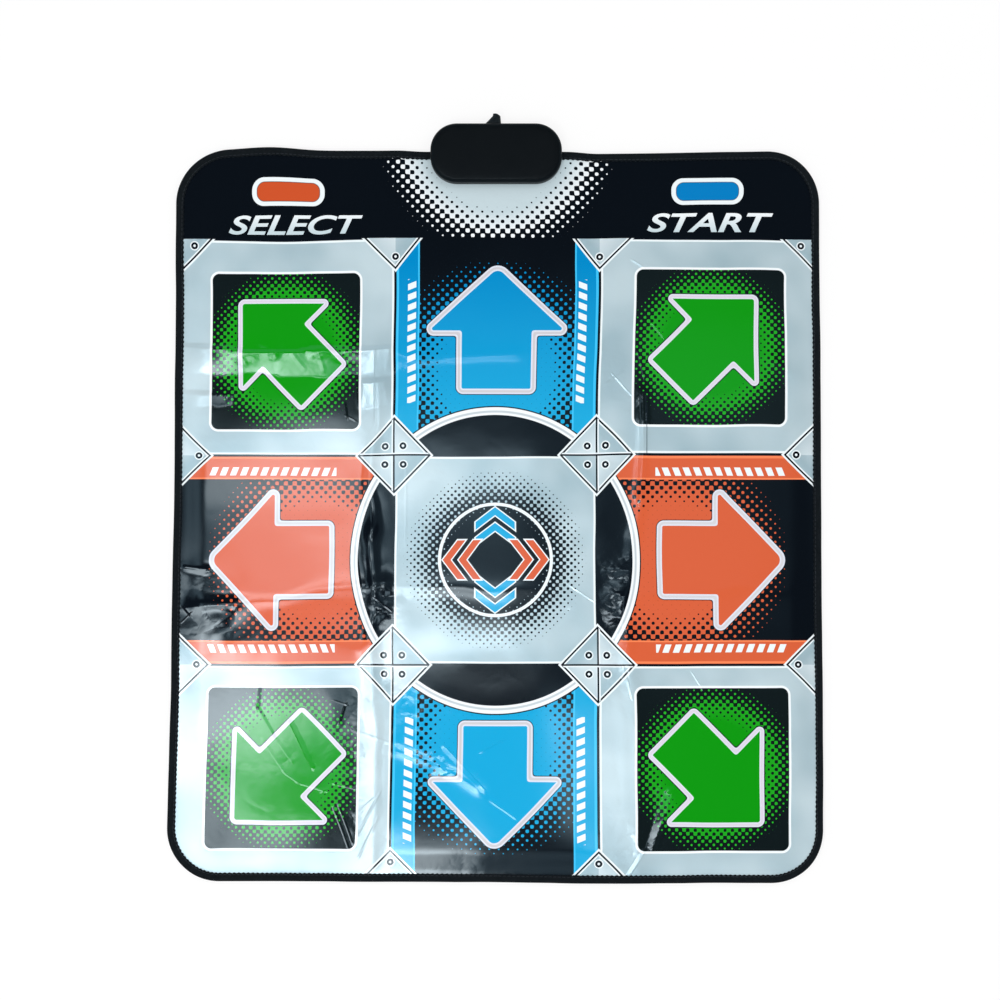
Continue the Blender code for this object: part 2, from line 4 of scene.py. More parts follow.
import bmesh
import bpy
import numpy as np
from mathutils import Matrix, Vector

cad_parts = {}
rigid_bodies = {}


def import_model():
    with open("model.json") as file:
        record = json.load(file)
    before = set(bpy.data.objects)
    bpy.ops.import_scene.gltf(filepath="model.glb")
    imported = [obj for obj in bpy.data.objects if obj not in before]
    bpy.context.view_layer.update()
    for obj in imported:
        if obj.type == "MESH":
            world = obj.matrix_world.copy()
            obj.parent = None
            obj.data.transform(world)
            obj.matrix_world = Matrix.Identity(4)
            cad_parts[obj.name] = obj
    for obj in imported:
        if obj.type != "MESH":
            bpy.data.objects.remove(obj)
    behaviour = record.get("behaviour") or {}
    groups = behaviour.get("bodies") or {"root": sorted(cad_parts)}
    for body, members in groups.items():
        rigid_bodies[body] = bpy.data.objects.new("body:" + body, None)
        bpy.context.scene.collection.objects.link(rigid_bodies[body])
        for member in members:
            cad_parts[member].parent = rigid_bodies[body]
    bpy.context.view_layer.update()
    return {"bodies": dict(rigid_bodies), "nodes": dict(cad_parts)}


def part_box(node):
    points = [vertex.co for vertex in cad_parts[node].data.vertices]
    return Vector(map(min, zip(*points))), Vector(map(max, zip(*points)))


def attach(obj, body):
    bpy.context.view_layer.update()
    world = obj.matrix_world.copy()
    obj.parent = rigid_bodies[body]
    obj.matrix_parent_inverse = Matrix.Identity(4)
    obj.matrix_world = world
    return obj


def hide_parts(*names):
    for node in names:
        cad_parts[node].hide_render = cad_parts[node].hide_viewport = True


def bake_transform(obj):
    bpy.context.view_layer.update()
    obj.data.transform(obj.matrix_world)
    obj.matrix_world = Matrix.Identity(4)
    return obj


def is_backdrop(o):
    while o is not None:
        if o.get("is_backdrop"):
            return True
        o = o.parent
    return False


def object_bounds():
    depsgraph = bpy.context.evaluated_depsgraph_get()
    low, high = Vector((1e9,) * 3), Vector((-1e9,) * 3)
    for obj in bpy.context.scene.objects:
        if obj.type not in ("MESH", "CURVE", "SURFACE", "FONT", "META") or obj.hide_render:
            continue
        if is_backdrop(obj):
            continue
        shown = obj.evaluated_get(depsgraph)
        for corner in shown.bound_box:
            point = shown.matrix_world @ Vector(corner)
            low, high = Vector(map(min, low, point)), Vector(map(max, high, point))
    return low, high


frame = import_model()
nodes = frame["nodes"]

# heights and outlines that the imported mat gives
coverLow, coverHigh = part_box("top_cover")
bindingLow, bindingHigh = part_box("edge_binding")
lidLow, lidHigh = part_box("box_upper_shell")
matShape = {
    "halfWidth": bindingHigh.x, "halfLength": bindingHigh.y, "cornerRadius": 0.068,
    "filmTop": coverHigh.z, "filmThickness": coverHigh.z - coverLow.z,
}
lidShape = {
    "wide": (lidHigh.x - lidLow.x) / 2, "deep": (lidHigh.y - lidLow.y) / 2,
    "middle": (lidHigh.y + lidLow.y) / 2, "cornerRadius": 0.034,
}

print("camera, lights and floor")
viewSettings = {"distance": 2.2, "elevation": 88.5, "lens": 61.9, "target": (0.0049, 0.0186, 0.0)}


def addCamera(settings):
    rise = math.radians(settings["elevation"])
    back = Vector((0.0, -math.cos(rise), math.sin(rise)))
    camera = bpy.data.objects.new("photoCamera", bpy.data.cameras.new("photoCamera"))
    bpy.context.scene.collection.objects.link(camera)
    camera.location = Vector(settings["target"]) + back * settings["distance"]
    camera.rotation_mode = "QUATERNION"
    camera.rotation_quaternion = (-back).to_track_quat("-Z", "Y")
    camera.data.lens = settings["lens"]
    bpy.context.scene.camera = camera


# links fields to a node's inputs, and sets the others to plain values
def fillInputs(tree, node, values):
    for key, value in values.items():
        if isinstance(value, Field):
            tree.links.new(value.socket, node.inputs[key])
        elif value is not None:
            node.inputs[key].default_value = (*value, 1.0) if isinstance(value, tuple) else value


# adds a node and gives the field of one of its outputs
def addNode(tree, kind, inputs, out=0, **settings):
    node = tree.nodes.new("ShaderNode" + kind)
    for name, value in settings.items():
        setattr(node, name, value)
    fillInputs(tree, node, inputs)
    return Field(tree, node.outputs[out])


# an output in a node tree, that adds and multiplies like a number
class Field:

    def __init__(self, tree, socket):
        self.tree, self.socket = tree, socket

    # another output of the same node
    def other(self, key):
        return Field(self.tree, self.socket.node.outputs[key])

    def math(self, operation, *others, clamp=False):
        inputs = dict(enumerate((self, *others)))
        return addNode(self.tree, "Math", inputs, operation=operation, use_clamp=clamp)

    def __add__(self, other):
        return self.math("ADD", other)

    def __sub__(self, other):
        return self.math("SUBTRACT", other)

    def __mul__(self, other):
        return self.math("MULTIPLY", other)

    def __truediv__(self, other):
        return self.math("DIVIDE", other)

    def size(self):
        return self.math("ABSOLUTE")

    def least(self, other):
        return self.math("MINIMUM", other)

    def most(self, other):
        return self.math("MAXIMUM", other)

    # kept between 0 and 1
    def unit(self):
        return self.most(0.0).least(1.0)

    # what is left of 1
    def rest(self):
        return self * -1.0 + 1.0

    def power(self, other):
        return self.math("POWER", other)

    # length of the two sides together
    def far(self, other):
        return (self * self + (other * other)).math("SQRT")

    # mask of where a distance is below zero
    def within(self, soft=0.3):
        return (self * (-1.0 / soft)).math("ADD", 0.5, clamp=True)

    # mask of a line of that width, where a distance is near the middle
    def line(self, middle, width, soft=0.3):
        return ((self - middle).size() - width / 2).within(soft)


# distance to a box with these two sides, before its corners are rounded
def roundedDistance(a, b):
    return a.most(0.0).far(b.most(0.0)) + a.most(b).least(0.0)


def mixColours(tree, low, high, share):
    return addNode(tree, "Mix", {6: low, 7: high, 0: share}, out=2, data_type="RGBA")


def addNoise(tree, place, scale, detail, stretch=0.0):
    inputs = {"Vector": place, "Scale": scale, "Detail": detail, "Distortion": stretch}
    return addNode(tree, "TexNoise", inputs)


def joinPlace(tree, give):
    return addNode(tree, "CombineXYZ", {0: give["Across"], 1: give["Along"]})


def newMaterial(name):
    material = bpy.data.materials.new(name)
    material.use_nodes = True
    return material, material.node_tree, material.node_tree.nodes["Principled BSDF"]


# the two coordinates of a UV layer
def layerPlace(tree, layer):
    split = addNode(tree, "SeparateXYZ", {0: addNode(tree, "UVMap", {}, uv_map=layer)})
    return split, split.other(1)


# a group's inputs are numbers, or a vector where the value is None
def startGroup(name, inputs, outputs):
    group = bpy.data.node_groups.new(name, "ShaderNodeTree")
    for socketName, value in inputs.items():
        kind = "NodeSocketVector" if value is None else "NodeSocketFloat"
        socket = group.interface.new_socket(name=socketName, in_out="INPUT", socket_type=kind)
        if value is not None:
            socket.default_value = value
    for socketName in outputs:
        group.interface.new_socket(name=socketName, in_out="OUTPUT", socket_type="NodeSocketFloat")
    enter, leave = group.nodes.new("NodeGroupInput"), group.nodes.new("NodeGroupOutput")
    return group, {n: Field(group, enter.outputs[n]) for n in inputs}, leave


def endGroup(group, leave, **results):
    fillInputs(group, leave, results)
    return group


def useGroup(tree, group, **values):
    first = addNode(tree, "Group", values, node_tree=group)
    outputs = {socket.name: Field(tree, socket) for socket in first.socket.node.outputs}
    return outputs if len(outputs) > 1 else first


lampSettings = {
    # place of the middle, width across, depth, radiance
    "windowGlow": ((-0.52, -0.62, 1.80), 0.62, 0.66, 7.0),
    "leftCeiling": ((-0.56, -0.30, 1.82), 0.62, 1.32, 1.5),
    "farSide": ((1.5, 1.0, 1.9), 0.9, 0.9, 2.2),
}


# lamps over the mat shine straight down, and those beside it at its middle
def addLamps(settings):
    for name, (place, across, depth, radiance) in settings.items():
        light = bpy.data.lights.new(name, "AREA")
        light.shape = "RECTANGLE"
        light.size, light.size_y = across, depth
        light.energy = radiance * math.pi * across * depth
        lamp = bpy.data.objects.new(name, light)
        bpy.context.scene.collection.objects.link(lamp)
        lamp.location = place
        lamp.visible_camera = False
        lamp.visible_glossy = False
        if abs(place[0]) > 1.0:
            lamp.rotation_mode = "QUATERNION"
            lamp.rotation_quaternion = (-Vector(place)).to_track_quat("-Z", "Y")


# what the film mirrors: middle, half size and soft edge in m, radiance
# a place here is the one on a quite flat mat that would mirror it to the camera
mirrored = [
    ((-0.580, -0.355), (0.170, 0.145), 0.060, 11.5), ((-0.365, -0.262), (0.045, 0.060), 0.060, 15.0),
    ((-0.280, -0.262), (0.040, 0.058), 0.060, 6.0), ((-0.310, -0.425), (0.045, 0.030), 0.030, 13.0),
    ((-0.376, -0.384), (0.022, 0.020), 0.030, 10.0), ((-0.300, -0.368), (0.050, 0.012), 0.030, -3.0),
    ((-0.275, -0.252), (0.160, 0.018), 0.050, 5.0), ((-0.290, -0.185), (0.120, 0.030), 0.030, 2.0),
    ((-0.270, -0.040), (0.095, 0.045), 0.060, 4.6), ((-0.275, 0.045), (0.110, 0.032), 0.020, 8.0),
    ((-0.520, 0.080), (0.050, 0.160), 0.060, 2.0), ((-0.500, -0.085), (0.060, 0.020), 0.030, 8.0),
    ((-0.045, -0.166), (0.075, 0.022), 0.026, 17.0), ((-0.040, 0.020), (0.070, 0.040), 0.060, 1.5),
    ((-0.030, 0.060), (0.080, 0.018), 0.020, 4.5), ((-0.060, -0.060), (0.150, 0.120), 0.140, 0.4),
    ((0.100, 0.050), (0.280, 0.200), 0.100, 0.3), ((0.110, -0.340), (0.025, 0.080), 0.040, 6.0),
    ((-0.475, -0.750), (0.415, 0.250), 0.050, 10.5), ((-0.100, -0.500), (0.050, 0.065), 0.040, 14.0),
    ((0.060, -0.640), (0.100, 0.120), 0.080, 1.0),
]
mirrorView = {
    "place": (0.0049, -0.039), "height": 2.2, "lowest": 0.05,
    "faint": (0.45, 0.78, 1.0), "strong": (0.78, 0.92, 1.0), "strongFrom": 8.0,
}


# mask of a rectangle with a soft edge
def makeGlow():
    shape = {"Across": 0, "Along": 0, "HalfWidth": 0.1, "HalfLength": 0.1, "Soft": 0.02}
    group, give, leave = startGroup("softGlow", shape, ["Mask"])
    distance = roundedDistance(give["Across"].size() - give["HalfWidth"],
                               give["Along"].size() - give["HalfLength"])
    mask = (distance / give["Soft"] * -0.5).math("ADD", 0.5, clamp=True)
    return endGroup(group, leave, Mask=mask * mask * (mask * -2.0 + 3.0))


softGlow = makeGlow()
worldSettings = {"fill": 0.86, "horizon": 0.9, "zenith": 0.05, "from": 0.35, "to": 0.92}


def addWorld(settings):
    world = bpy.data.worlds.new("studio")
    bpy.context.scene.world = world
    world.use_nodes = True
    tree = world.node_tree
    tree.nodes.clear()
    x = addNode(tree, "SeparateXYZ", {0: addNode(tree, "TexCoord", {}, out="Generated")})
    y, z = x.other(1), x.other(2)
    rise = z.most(mirrorView["lowest"])
    across = x / rise * mirrorView["height"] + mirrorView["place"][0]
    along = y / rise * mirrorView["height"] + mirrorView["place"][1]
    ramp = (z, *(settings[name] for name in ("from", "to", "horizon", "zenith")))
    total = addNode(tree, "MapRange", dict(enumerate(ramp)), interpolation_type="SMOOTHSTEP")
    for (u, v), (halfWidth, halfLength), soft, radiance in mirrored:
        mask = useGroup(tree, softGlow, Across=across - u, Along=along - v, HalfWidth=halfWidth,
                        HalfLength=halfLength, Soft=soft)
        total = (total + mask * radiance).most(0.0)
    camera = addNode(tree, "LightPath", {}, out="Is Camera Ray")
    mirror = camera.other("Is Glossy Ray").most(camera.other("Is Transmission Ray"))
    strength = (total * mirror + mirror.rest() * settings["fill"]) * camera.rest() + camera
    share = (total / mirrorView["strongFrom"]).least(1.0)
    glare = mixColours(tree, mirrorView["faint"], mirrorView["strong"], share)
    tint = mixColours(tree, (1.0, 1.0, 1.0), glare, mirror * camera.rest())
    shade = addNode(tree, "Background", {"Color": tint, "Strength": strength})
    tree.links.new(shade.socket, tree.nodes.new("ShaderNodeOutputWorld").inputs[0])


floorSettings = {"colour": (0.93, 0.93, 0.93), "lift": 0.8, "size": 14.0, "below": 0.0002}


# a matt floor, lifted to white where the camera or the film sees it
def addFloor(settings):
    bpy.ops.mesh.primitive_plane_add(size=settings["size"], location=(0.0, 0.0, -settings["below"]))
    floor = bpy.context.active_object
    floor.name = "floor"
    material, tree, base = newMaterial("paleFloor")
    fillInputs(tree, base, {"Base Color": settings["colour"], "Roughness": 0.9})
    camera = addNode(tree, "LightPath", {}, out="Is Camera Ray")
    share = camera.most(camera.other("Is Glossy Ray")) * settings["lift"]
    shades = {0: share, 1: Field(tree, base.outputs[0]), 2: addNode(tree, "Emission", {})}
    tree.links.new(addNode(tree, "MixShader", shades).socket, tree.nodes["Material Output"].inputs[0])
    floor.data.materials.append(material)
    floor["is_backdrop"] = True


bpy.context.scene.view_settings.view_transform = "Standard"
addCamera(viewSettings)
addLamps(lampSettings)
addWorld(worldSettings)
addFloor(floorSettings)

print("how the mat lies")
# how far the print is off its straight lines, in mm, at the panel corners
# columns run from left to right, rows from the near edge to the box
layTable = {
    "columns": (-0.415, -0.1293, 0.1293, 0.415),
    "rows": (-0.465, -0.1924, 0.0755, 0.3526, 0.465),
    "right": ((-3.8, -5.4, 0.4, -0.3), (1.3, -2.2, -0.3, 0.2), (4.5, -0.9, -1.6, -0.5),
              (5.0, 1.0, 3.3, -1.5), (5.0, 1.0, 2.5, -1.5)),
    "up": ((-0.3, -0.5, -2.8, -2.4), (1.0, 1.2, 1.2, 1.0), (0.0, 0.0, 0.0, 0.0),
           (0.0, 1.5, 0.5, -1.0), (2.0, 1.6, -2.9, 1.0)),
}
# ridges of the folds: start, end, height and half width in mm
foldRidges = [
    ((-0.130, 0.200), (0.020, 0.206), 0.5, 9.0), ((-0.415, -0.120), (-0.340, -0.116), 1.0, 8.0),
    ((-0.340, -0.116), (-0.140, -0.088), 0.35, 8.0), ((-0.140, -0.088), (0.090, -0.098), 0.5, 12.0),
    ((0.200, -0.096), (0.415, -0.090), 0.5, 12.0), ((-0.152, 0.215), (-0.158, -0.020), 1.0, 8.0),
    ((-0.158, -0.020), (-0.150, -0.450), 1.3, 9.0), ((0.190, 0.150), (0.186, 0.020), 1.4, 4.0),
    ((0.186, 0.020), (0.166, -0.110), 0.8, 8.0), ((0.166, -0.110), (0.182, -0.450), 0.9, 9.0),
    ((-0.396, -0.066), (-0.372, -0.070), 0.8, 4.0), ((-0.120, -0.300), (-0.020, -0.345), 0.5, 6.0),
    ((0.360, 0.190), (0.412, 0.150), 0.8, 7.0),
]
# strips that slope away from a fold line: start and end of the line, width across, height at the line in mm
slopedStrips = [
    ((-0.413, 0.214), (-0.128, 0.208), 0.030, 3.1), ((-0.413, 0.158), (-0.340, 0.155), 0.016, 1.0),
    ((-0.180, 0.166), (-0.132, 0.170), 0.026, 3.0), ((0.222, -0.346), (0.193, -0.427), 0.010, 1.6),
]
# places where the film is crumpled: middle, reach, height in mm, size of the creases
crumples = [
    ((-0.355, -0.132), (0.075, 0.040), 1.4, 0.034), ((-0.250, 0.212), (0.150, 0.012), 1.1, 0.024),
    ((-0.150, 0.170), (0.022, 0.060), 0.3, 0.022), ((-0.150, -0.110), (0.030, 0.050), 0.9, 0.024),
    ((-0.180, -0.250), (0.060, 0.100), 0.4, 0.050), ((0.160, -0.100), (0.024, 0.050), 0.9, 0.022),
    ((0.225, -0.390), (0.050, 0.050), 0.5, 0.034), ((0.120, -0.060), (0.050, 0.080), 0.5, 0.030),
    ((-0.400, 0.150), (0.025, 0.090), 0.6, 0.036), ((-0.020, -0.450), (0.170, 0.016), 0.7, 0.040),
]
# middles of the four corner squares, and how far in mm each lies to the right and up of the table's place
squareNudges = [((-0.270, 0.211), (1.2, -3.5)), ((0.272, 0.211), (1.3, 3.3)),
                ((-0.272, -0.323), (2.2, 1.0)), ((0.272, -0.323), (3.6, 0.3))]
lieSettings = {
    "height": 1.1, "highest": 7.0,
    "waves": ((0.190, 0.8, 11), (0.075, 0.20, 12), (0.030, 0.025, 13)),     # size, height in mm, seed
    "bend": 0.004, "stripStart": 0.006, "stripEnd": 0.01,
    "boxCalm": (0.012, 0.060), "edgeCalm": (0.006, 0.045), "edgeShare": 0.25,
    "squareReach": 0.13, "stir": (0.0006, 0.055),
}


def eased(x):
    return x * x * x * (x * (x * 6.0 - 15.0) + 10.0)


# smooth random field from -1 to 1
def noise(s, t, grain, seed):
    table = np.random.RandomState(seed).uniform(-1.0, 1.0, (72, 72))
    a, b = s / grain + 36.0, t / grain + 36.0
    i, j = np.floor(a).astype(int), np.floor(b).astype(int)
    fa, fb = eased(a - i), eased(b - j)
    return between(table, np.clip(i, 0, 70), np.clip(j, 0, 70), fa, fb)


def between(values, i, j, a, b):
    low = values[j, i] * (1 - a) + values[j, i + 1] * a
    high = values[j + 1, i] * (1 - a) + values[j + 1, i + 1] * a
    return low * (1 - b) + high * b


# straight creases in three directions, from 0 to about 1
def creases(s, t, grain, seed):
    total = 0.0
    for k in range(3):
        turn = (seed * 0.7 + k * 1.1) % math.pi
        bent = s * math.cos(turn) + t * math.sin(turn) + 0.6 * grain * noise(s, t, grain * 2.2, seed + k)
        wave = np.abs((bent / grain) % 2.0 - 1.0)
        total = total + wave * np.clip(noise(s, t, grain * 1.8, seed + 10 + k) * 1.5 + 0.3, 0.0, 1.0)
    return total / 1.5


def fromTable(values, s, t):
    columns, rows = np.array(layTable["columns"]), np.array(layTable["rows"])
    i = np.clip(np.searchsorted(columns, s) - 1, 0, len(columns) - 2)
    j = np.clip(np.searchsorted(rows, t) - 1, 0, len(rows) - 2)
    a = np.clip((s - columns[i]) / (columns[i + 1] - columns[i]), 0, 1)
    b = np.clip((t - rows[j]) / (rows[j + 1] - rows[j]), 0, 1)
    return between(np.array(values) * 0.001, i, j, a * a * (3 - 2 * a), b * b * (3 - 2 * b))


# signed distance to a rounded rectangle, positive outside
def outside(s, t, halfWidth, halfLength, radius, middle=(0.0, 0.0)):
    a = np.abs(s - middle[0]) - halfWidth + radius
    b = np.abs(t - middle[1]) - halfLength + radius
    return np.hypot(np.maximum(a, 0), np.maximum(b, 0)) + np.minimum(np.maximum(a, b), 0) - radius


def fromBox(s, t):
    return outside(s, t, lidShape["wide"], lidShape["deep"], lidShape["cornerRadius"],
                   (0.0, lidShape["middle"]))


def fromRim(s, t):
    return outside(s, t, matShape["halfWidth"], matShape["halfLength"], matShape["cornerRadius"])


# places along a line and to its left, and the line's length
def besideLine(start, end, s, t):
    (x0, y0), (x1, y1) = start, end
    long = math.hypot(x1 - x0, y1 - y0)
    ux, uy = (x1 - x0) / long, (y1 - y0) / long
    return (s - x0) * ux + (t - y0) * uy, (t - y0) * ux - (s - x0) * uy, long


# how far the film stands off its bed
def lift(s, t):
    bentS = s + lieSettings["bend"] * noise(s, t, 0.040, 3)
    bentT = t + lieSettings["bend"] * noise(s, t, 0.045, 4)
    height = lieSettings["height"]
    for grain, high, seed in lieSettings["waves"]:
        height = height + high * noise(s, t, grain, seed)
    for start, end, high, wide in foldRidges:
        along, across, long = besideLine(start, end, bentS, bentT)
        beyond = np.maximum(np.maximum(-along, along - long), 0.0)
        far = np.hypot(across, beyond * 0.6) * 1000.0 / wide
        height = height + high / (1.0 + far * far)
    for start, end, wide, high in slopedStrips:
        along, _, long = besideLine(start, end, s, t)
        below = -besideLine(start, end, s, bentT)[1]
        end = lieSettings["stripEnd"]
        ends = np.clip(along / end, 0, 1) * np.clip((long - along) / end, 0, 1)
        profile = np.where(below < 0, 1.0 + below / lieSettings["stripStart"], 1.0 - below / wide)
        height = height + high * ends * np.clip(profile, 0, 1)
    for index, ((x, y), (reachX, reachY), high, grain) in enumerate(crumples):
        share = np.exp(-((s - x) / reachX) ** 2 - ((t - y) / reachY) ** 2)
        height = height + share * high * creases(s, t, grain, 40 + 20 * index)
    near, far = lieSettings["boxCalm"]
    calm = np.clip((fromBox(s, t) - near) / (far - near), 0, 1)
    near, far = lieSettings["edgeCalm"]
    rim = np.clip((-fromRim(s, t) - near) / (far - near), 0, 1)
    edge = lieSettings["edgeShare"]
    height = np.clip(height, 0.0, lieSettings["highest"]) * eased(calm) * (edge + (1 - edge) * eased(rim))
    return height * 0.001


# where the far edge bulges and the line under Select dips: middle, reach and how far up
lineBends = [((-0.295, 0.475), (0.045, 0.060), 0.0042), ((-0.270, 0.350), (0.070, 0.030), -0.0022)]


# where a point of the flat mat lies, seen from above
def layFlat(s, t):
    shiftX = fromTable(layTable["right"], s, t)
    shiftY = fromTable(layTable["up"], s, t)
    for (x, y), (reachX, reachY), up in lineBends:
        shiftY = shiftY + up * np.exp(-((s - x) / reachX) ** 2 - ((t - y) / reachY) ** 2)
    for (x, y), (right, up) in squareNudges:
        reach = lieSettings["squareReach"]
        share = np.exp(-((s - x) / reach) ** 8 - ((t - y) / reach) ** 8)
        shiftX, shiftY = shiftX + share * right * 0.001, shiftY + share * up * 0.001
    calm = eased(np.clip(fromBox(s, t) / 0.05, 0, 1))
    size, grain = lieSettings["stir"]
    shiftX = shiftX + size * noise(s, t, grain, 21)
    shiftY = shiftY + size * noise(s, t, grain, 22)
    return s + shiftX * calm, t + shiftY * calm


def layPoint(s, t, above=0.0):
    x, y = layFlat(s, t)
    return np.stack([x, y, matShape["filmTop"] + lift(s, t) + above], axis=-1)


def layNormal(s, t):
    step = 0.0004
    a = layPoint(s + step, t) - layPoint(s - step, t)
    b = layPoint(s, t + step) - layPoint(s, t - step)
    n = np.cross(a, b)
    return n / np.linalg.norm(n, axis=-1, keepdims=True)


def newPiece(name, mesh):
    piece = bpy.data.objects.new(name, mesh)
    bpy.context.scene.collection.objects.link(piece)
    return piece


def plainMesh(name, points, faces):
    mesh = bpy.data.meshes.new(name)
    mesh.from_pydata([tuple(p) for p in points], [], [tuple(f) for f in faces])
    return newPiece(name, mesh)


# gives a piece its material, hangs it on the body that carries it, and hides the CAD part that it stands for
def settle(piece, material, body="mat", node=None):
    piece.data.materials.append(material)
    if body:
        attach(piece, body)
    if node:
        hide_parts(node)
    return piece


# closed sheet of film from a grid of flat places, without the cells that keep leaves out
def layFilm(name, s, t, keep):
    rows, columns = s.shape
    used = np.zeros(s.shape, bool)
    for a, b in ((0, 0), (0, 1), (1, 0), (1, 1)):
        used[a:rows - 1 + a, b:columns - 1 + b] |= keep
    index = np.full(s.shape, -1)
    index[used] = np.arange(used.sum())
    flatS, flatT = s[used], t[used]
    top, normals = layPoint(flatS, flatT), layNormal(flatS, flatT)
    both = np.concatenate([top, top - np.array([0.0, 0.0, matShape["filmThickness"]])])
    count = len(top)
    j, i = np.nonzero(keep)
    corner = [index[j, i], index[j, i + 1], index[j + 1, i + 1], index[j + 1, i]]
    upper = np.stack(corner, axis=1)
    lower = upper[:, ::-1] + count
    around = np.zeros((rows + 1, columns + 1), bool)
    around[1:-1, 1:-1] = keep
    walls = []
    for dj, di, first, second in ((-1, 0, 0, 1), (0, 1, 1, 2), (1, 0, 2, 3), (0, -1, 3, 0)):
        bare = ~around[j + 1 + dj, i + 1 + di]
        a, b = corner[first][bare], corner[second][bare]
        walls.append(np.stack([b, a, a + count, b + count], axis=1))
    walls = np.concatenate(walls)
    faces = np.concatenate([upper, lower, walls])
    piece = plainMesh(name, both, faces.tolist())
    mesh = piece.data
    for polygon in mesh.polygons:
        polygon.use_smooth = True
    side = np.cross(both[walls[:, 1]] - both[walls[:, 0]], np.array([0.0, 0.0, -1.0]))
    wallNormals = side / np.maximum(np.linalg.norm(side, axis=1, keepdims=True), 1e-9)
    loops = np.concatenate([
        normals[upper.ravel()], -normals[(lower - count).ravel()], np.repeat(wallNormals, 4, axis=0),
    ])
    mesh.normals_split_custom_set(loops.tolist())
    corners = faces.ravel() % count
    setLayer(mesh, "Print", np.stack([flatS[corners] + 0.5, flatT[corners] + 0.5], axis=1))
    return piece


def setLayer(mesh, name, uv):
    mesh.uv_layers.new(name=name).data.foreach_set("uv", uv.astype(np.float32).ravel())


gridStep, windowGap = 0.0030, 0.0005
rimInset, boxGrip = 0.0009, 0.006
switches = {}
for bodyName in frame["bodies"]:
    if bodyName.endswith("_switch"):
        switchName = bodyName[: -len("_switch")]
        low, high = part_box(switchName + "_pad")
        switches[switchName] = {
            "middle": ((low.x + high.x) / 2, (low.y + high.y) / 2),
            "half": ((high.x - low.x) / 2 + windowGap, (high.y - low.y) / 2 + windowGap),
            "bend": 0.0165 if high.y - low.y > 0.1 else 0.0075,     # foot pads, and buttons
        }
lineX, lineY = (-0.1293, 0.1293), (-0.1924, 0.0755, 0.3526)     # between the panels


# grid places from end to end, with a line on every mark
def gridLines(end, marks):
    marks = sorted({round(m, 6) for m in marks if -end < m < end} | {-end, end})
    places = [marks[0]]
    for a, b in zip(marks, marks[1:]):
        parts = max(1, round((b - a) / gridStep))
        places += [a + (b - a) * k / parts for k in range(1, parts + 1)]
    return np.array(places)


def windowEdges(axis):
    return {switch["middle"][axis] + sign * switch["half"][axis]
            for switch in switches.values() for sign in (-1, 1)}


edgeX, edgeY = matShape["halfWidth"] - rimInset, matShape["halfLength"] - rimInset
allX = gridLines(edgeX, windowEdges(0) | set(lineX))
allY = gridLines(edgeY, windowEdges(1) | set(lineY))


def slidTo(distance, s, t, move):
    step = 1e-5
    slopeS = (distance(s + step, t) - distance(s - step, t)) / (2 * step)
    slopeT = (distance(s, t + step) - distance(s, t - step)) / (2 * step)
    return s + slopeS * move, t + slopeT * move


# moves grid points just beyond the mat's rim, or just too far under the box, to those edges
def pulledIn(s, t):
    over = fromRim(s, t) + rimInset
    under = -fromBox(s, t) - boxGrip
    for _ in range(3):
        s, t = slidTo(fromRim, s, t, -np.maximum(fromRim(s, t) + rimInset, 0))
        deep = -fromBox(s, t) - boxGrip
        s, t = slidTo(fromBox, s, t, np.where(deep < 1.5 * gridStep, np.maximum(deep, 0), 0))
    return s, t, over, under


def layPanel(name, rangeX, rangeY):
    xs = allX[(allX >= rangeX[0] - 1e-6) & (allX <= rangeX[1] + 1e-6)]
    ys = allY[(allY >= rangeY[0] - 1e-6) & (allY <= rangeY[1] + 1e-6)]
    s, t = np.meshgrid(xs, ys)
    middleS, middleT = (s[:-1, :-1] + s[1:, 1:]) / 2, (t[:-1, :-1] + t[1:, 1:]) / 2
    keep = np.ones(middleS.shape, bool)
    held = []
    for switchName, switch in switches.items():
        (x, y), (halfX, halfY) = switch["middle"], switch["half"]
        inside = (np.abs(middleS - x) < halfX) & (np.abs(middleT - y) < halfY)
        if inside.any():
            held.append(switchName)
        keep &= ~inside
    s, t, over, under = pulledIn(s, t)
    for gone in (over > -1e-6, under > 0):
        keep &= ~(gone[:-1, :-1] & gone[1:, :-1] & gone[:-1, 1:] & gone[1:, 1:])
    return layFilm(name, s, t, keep), held
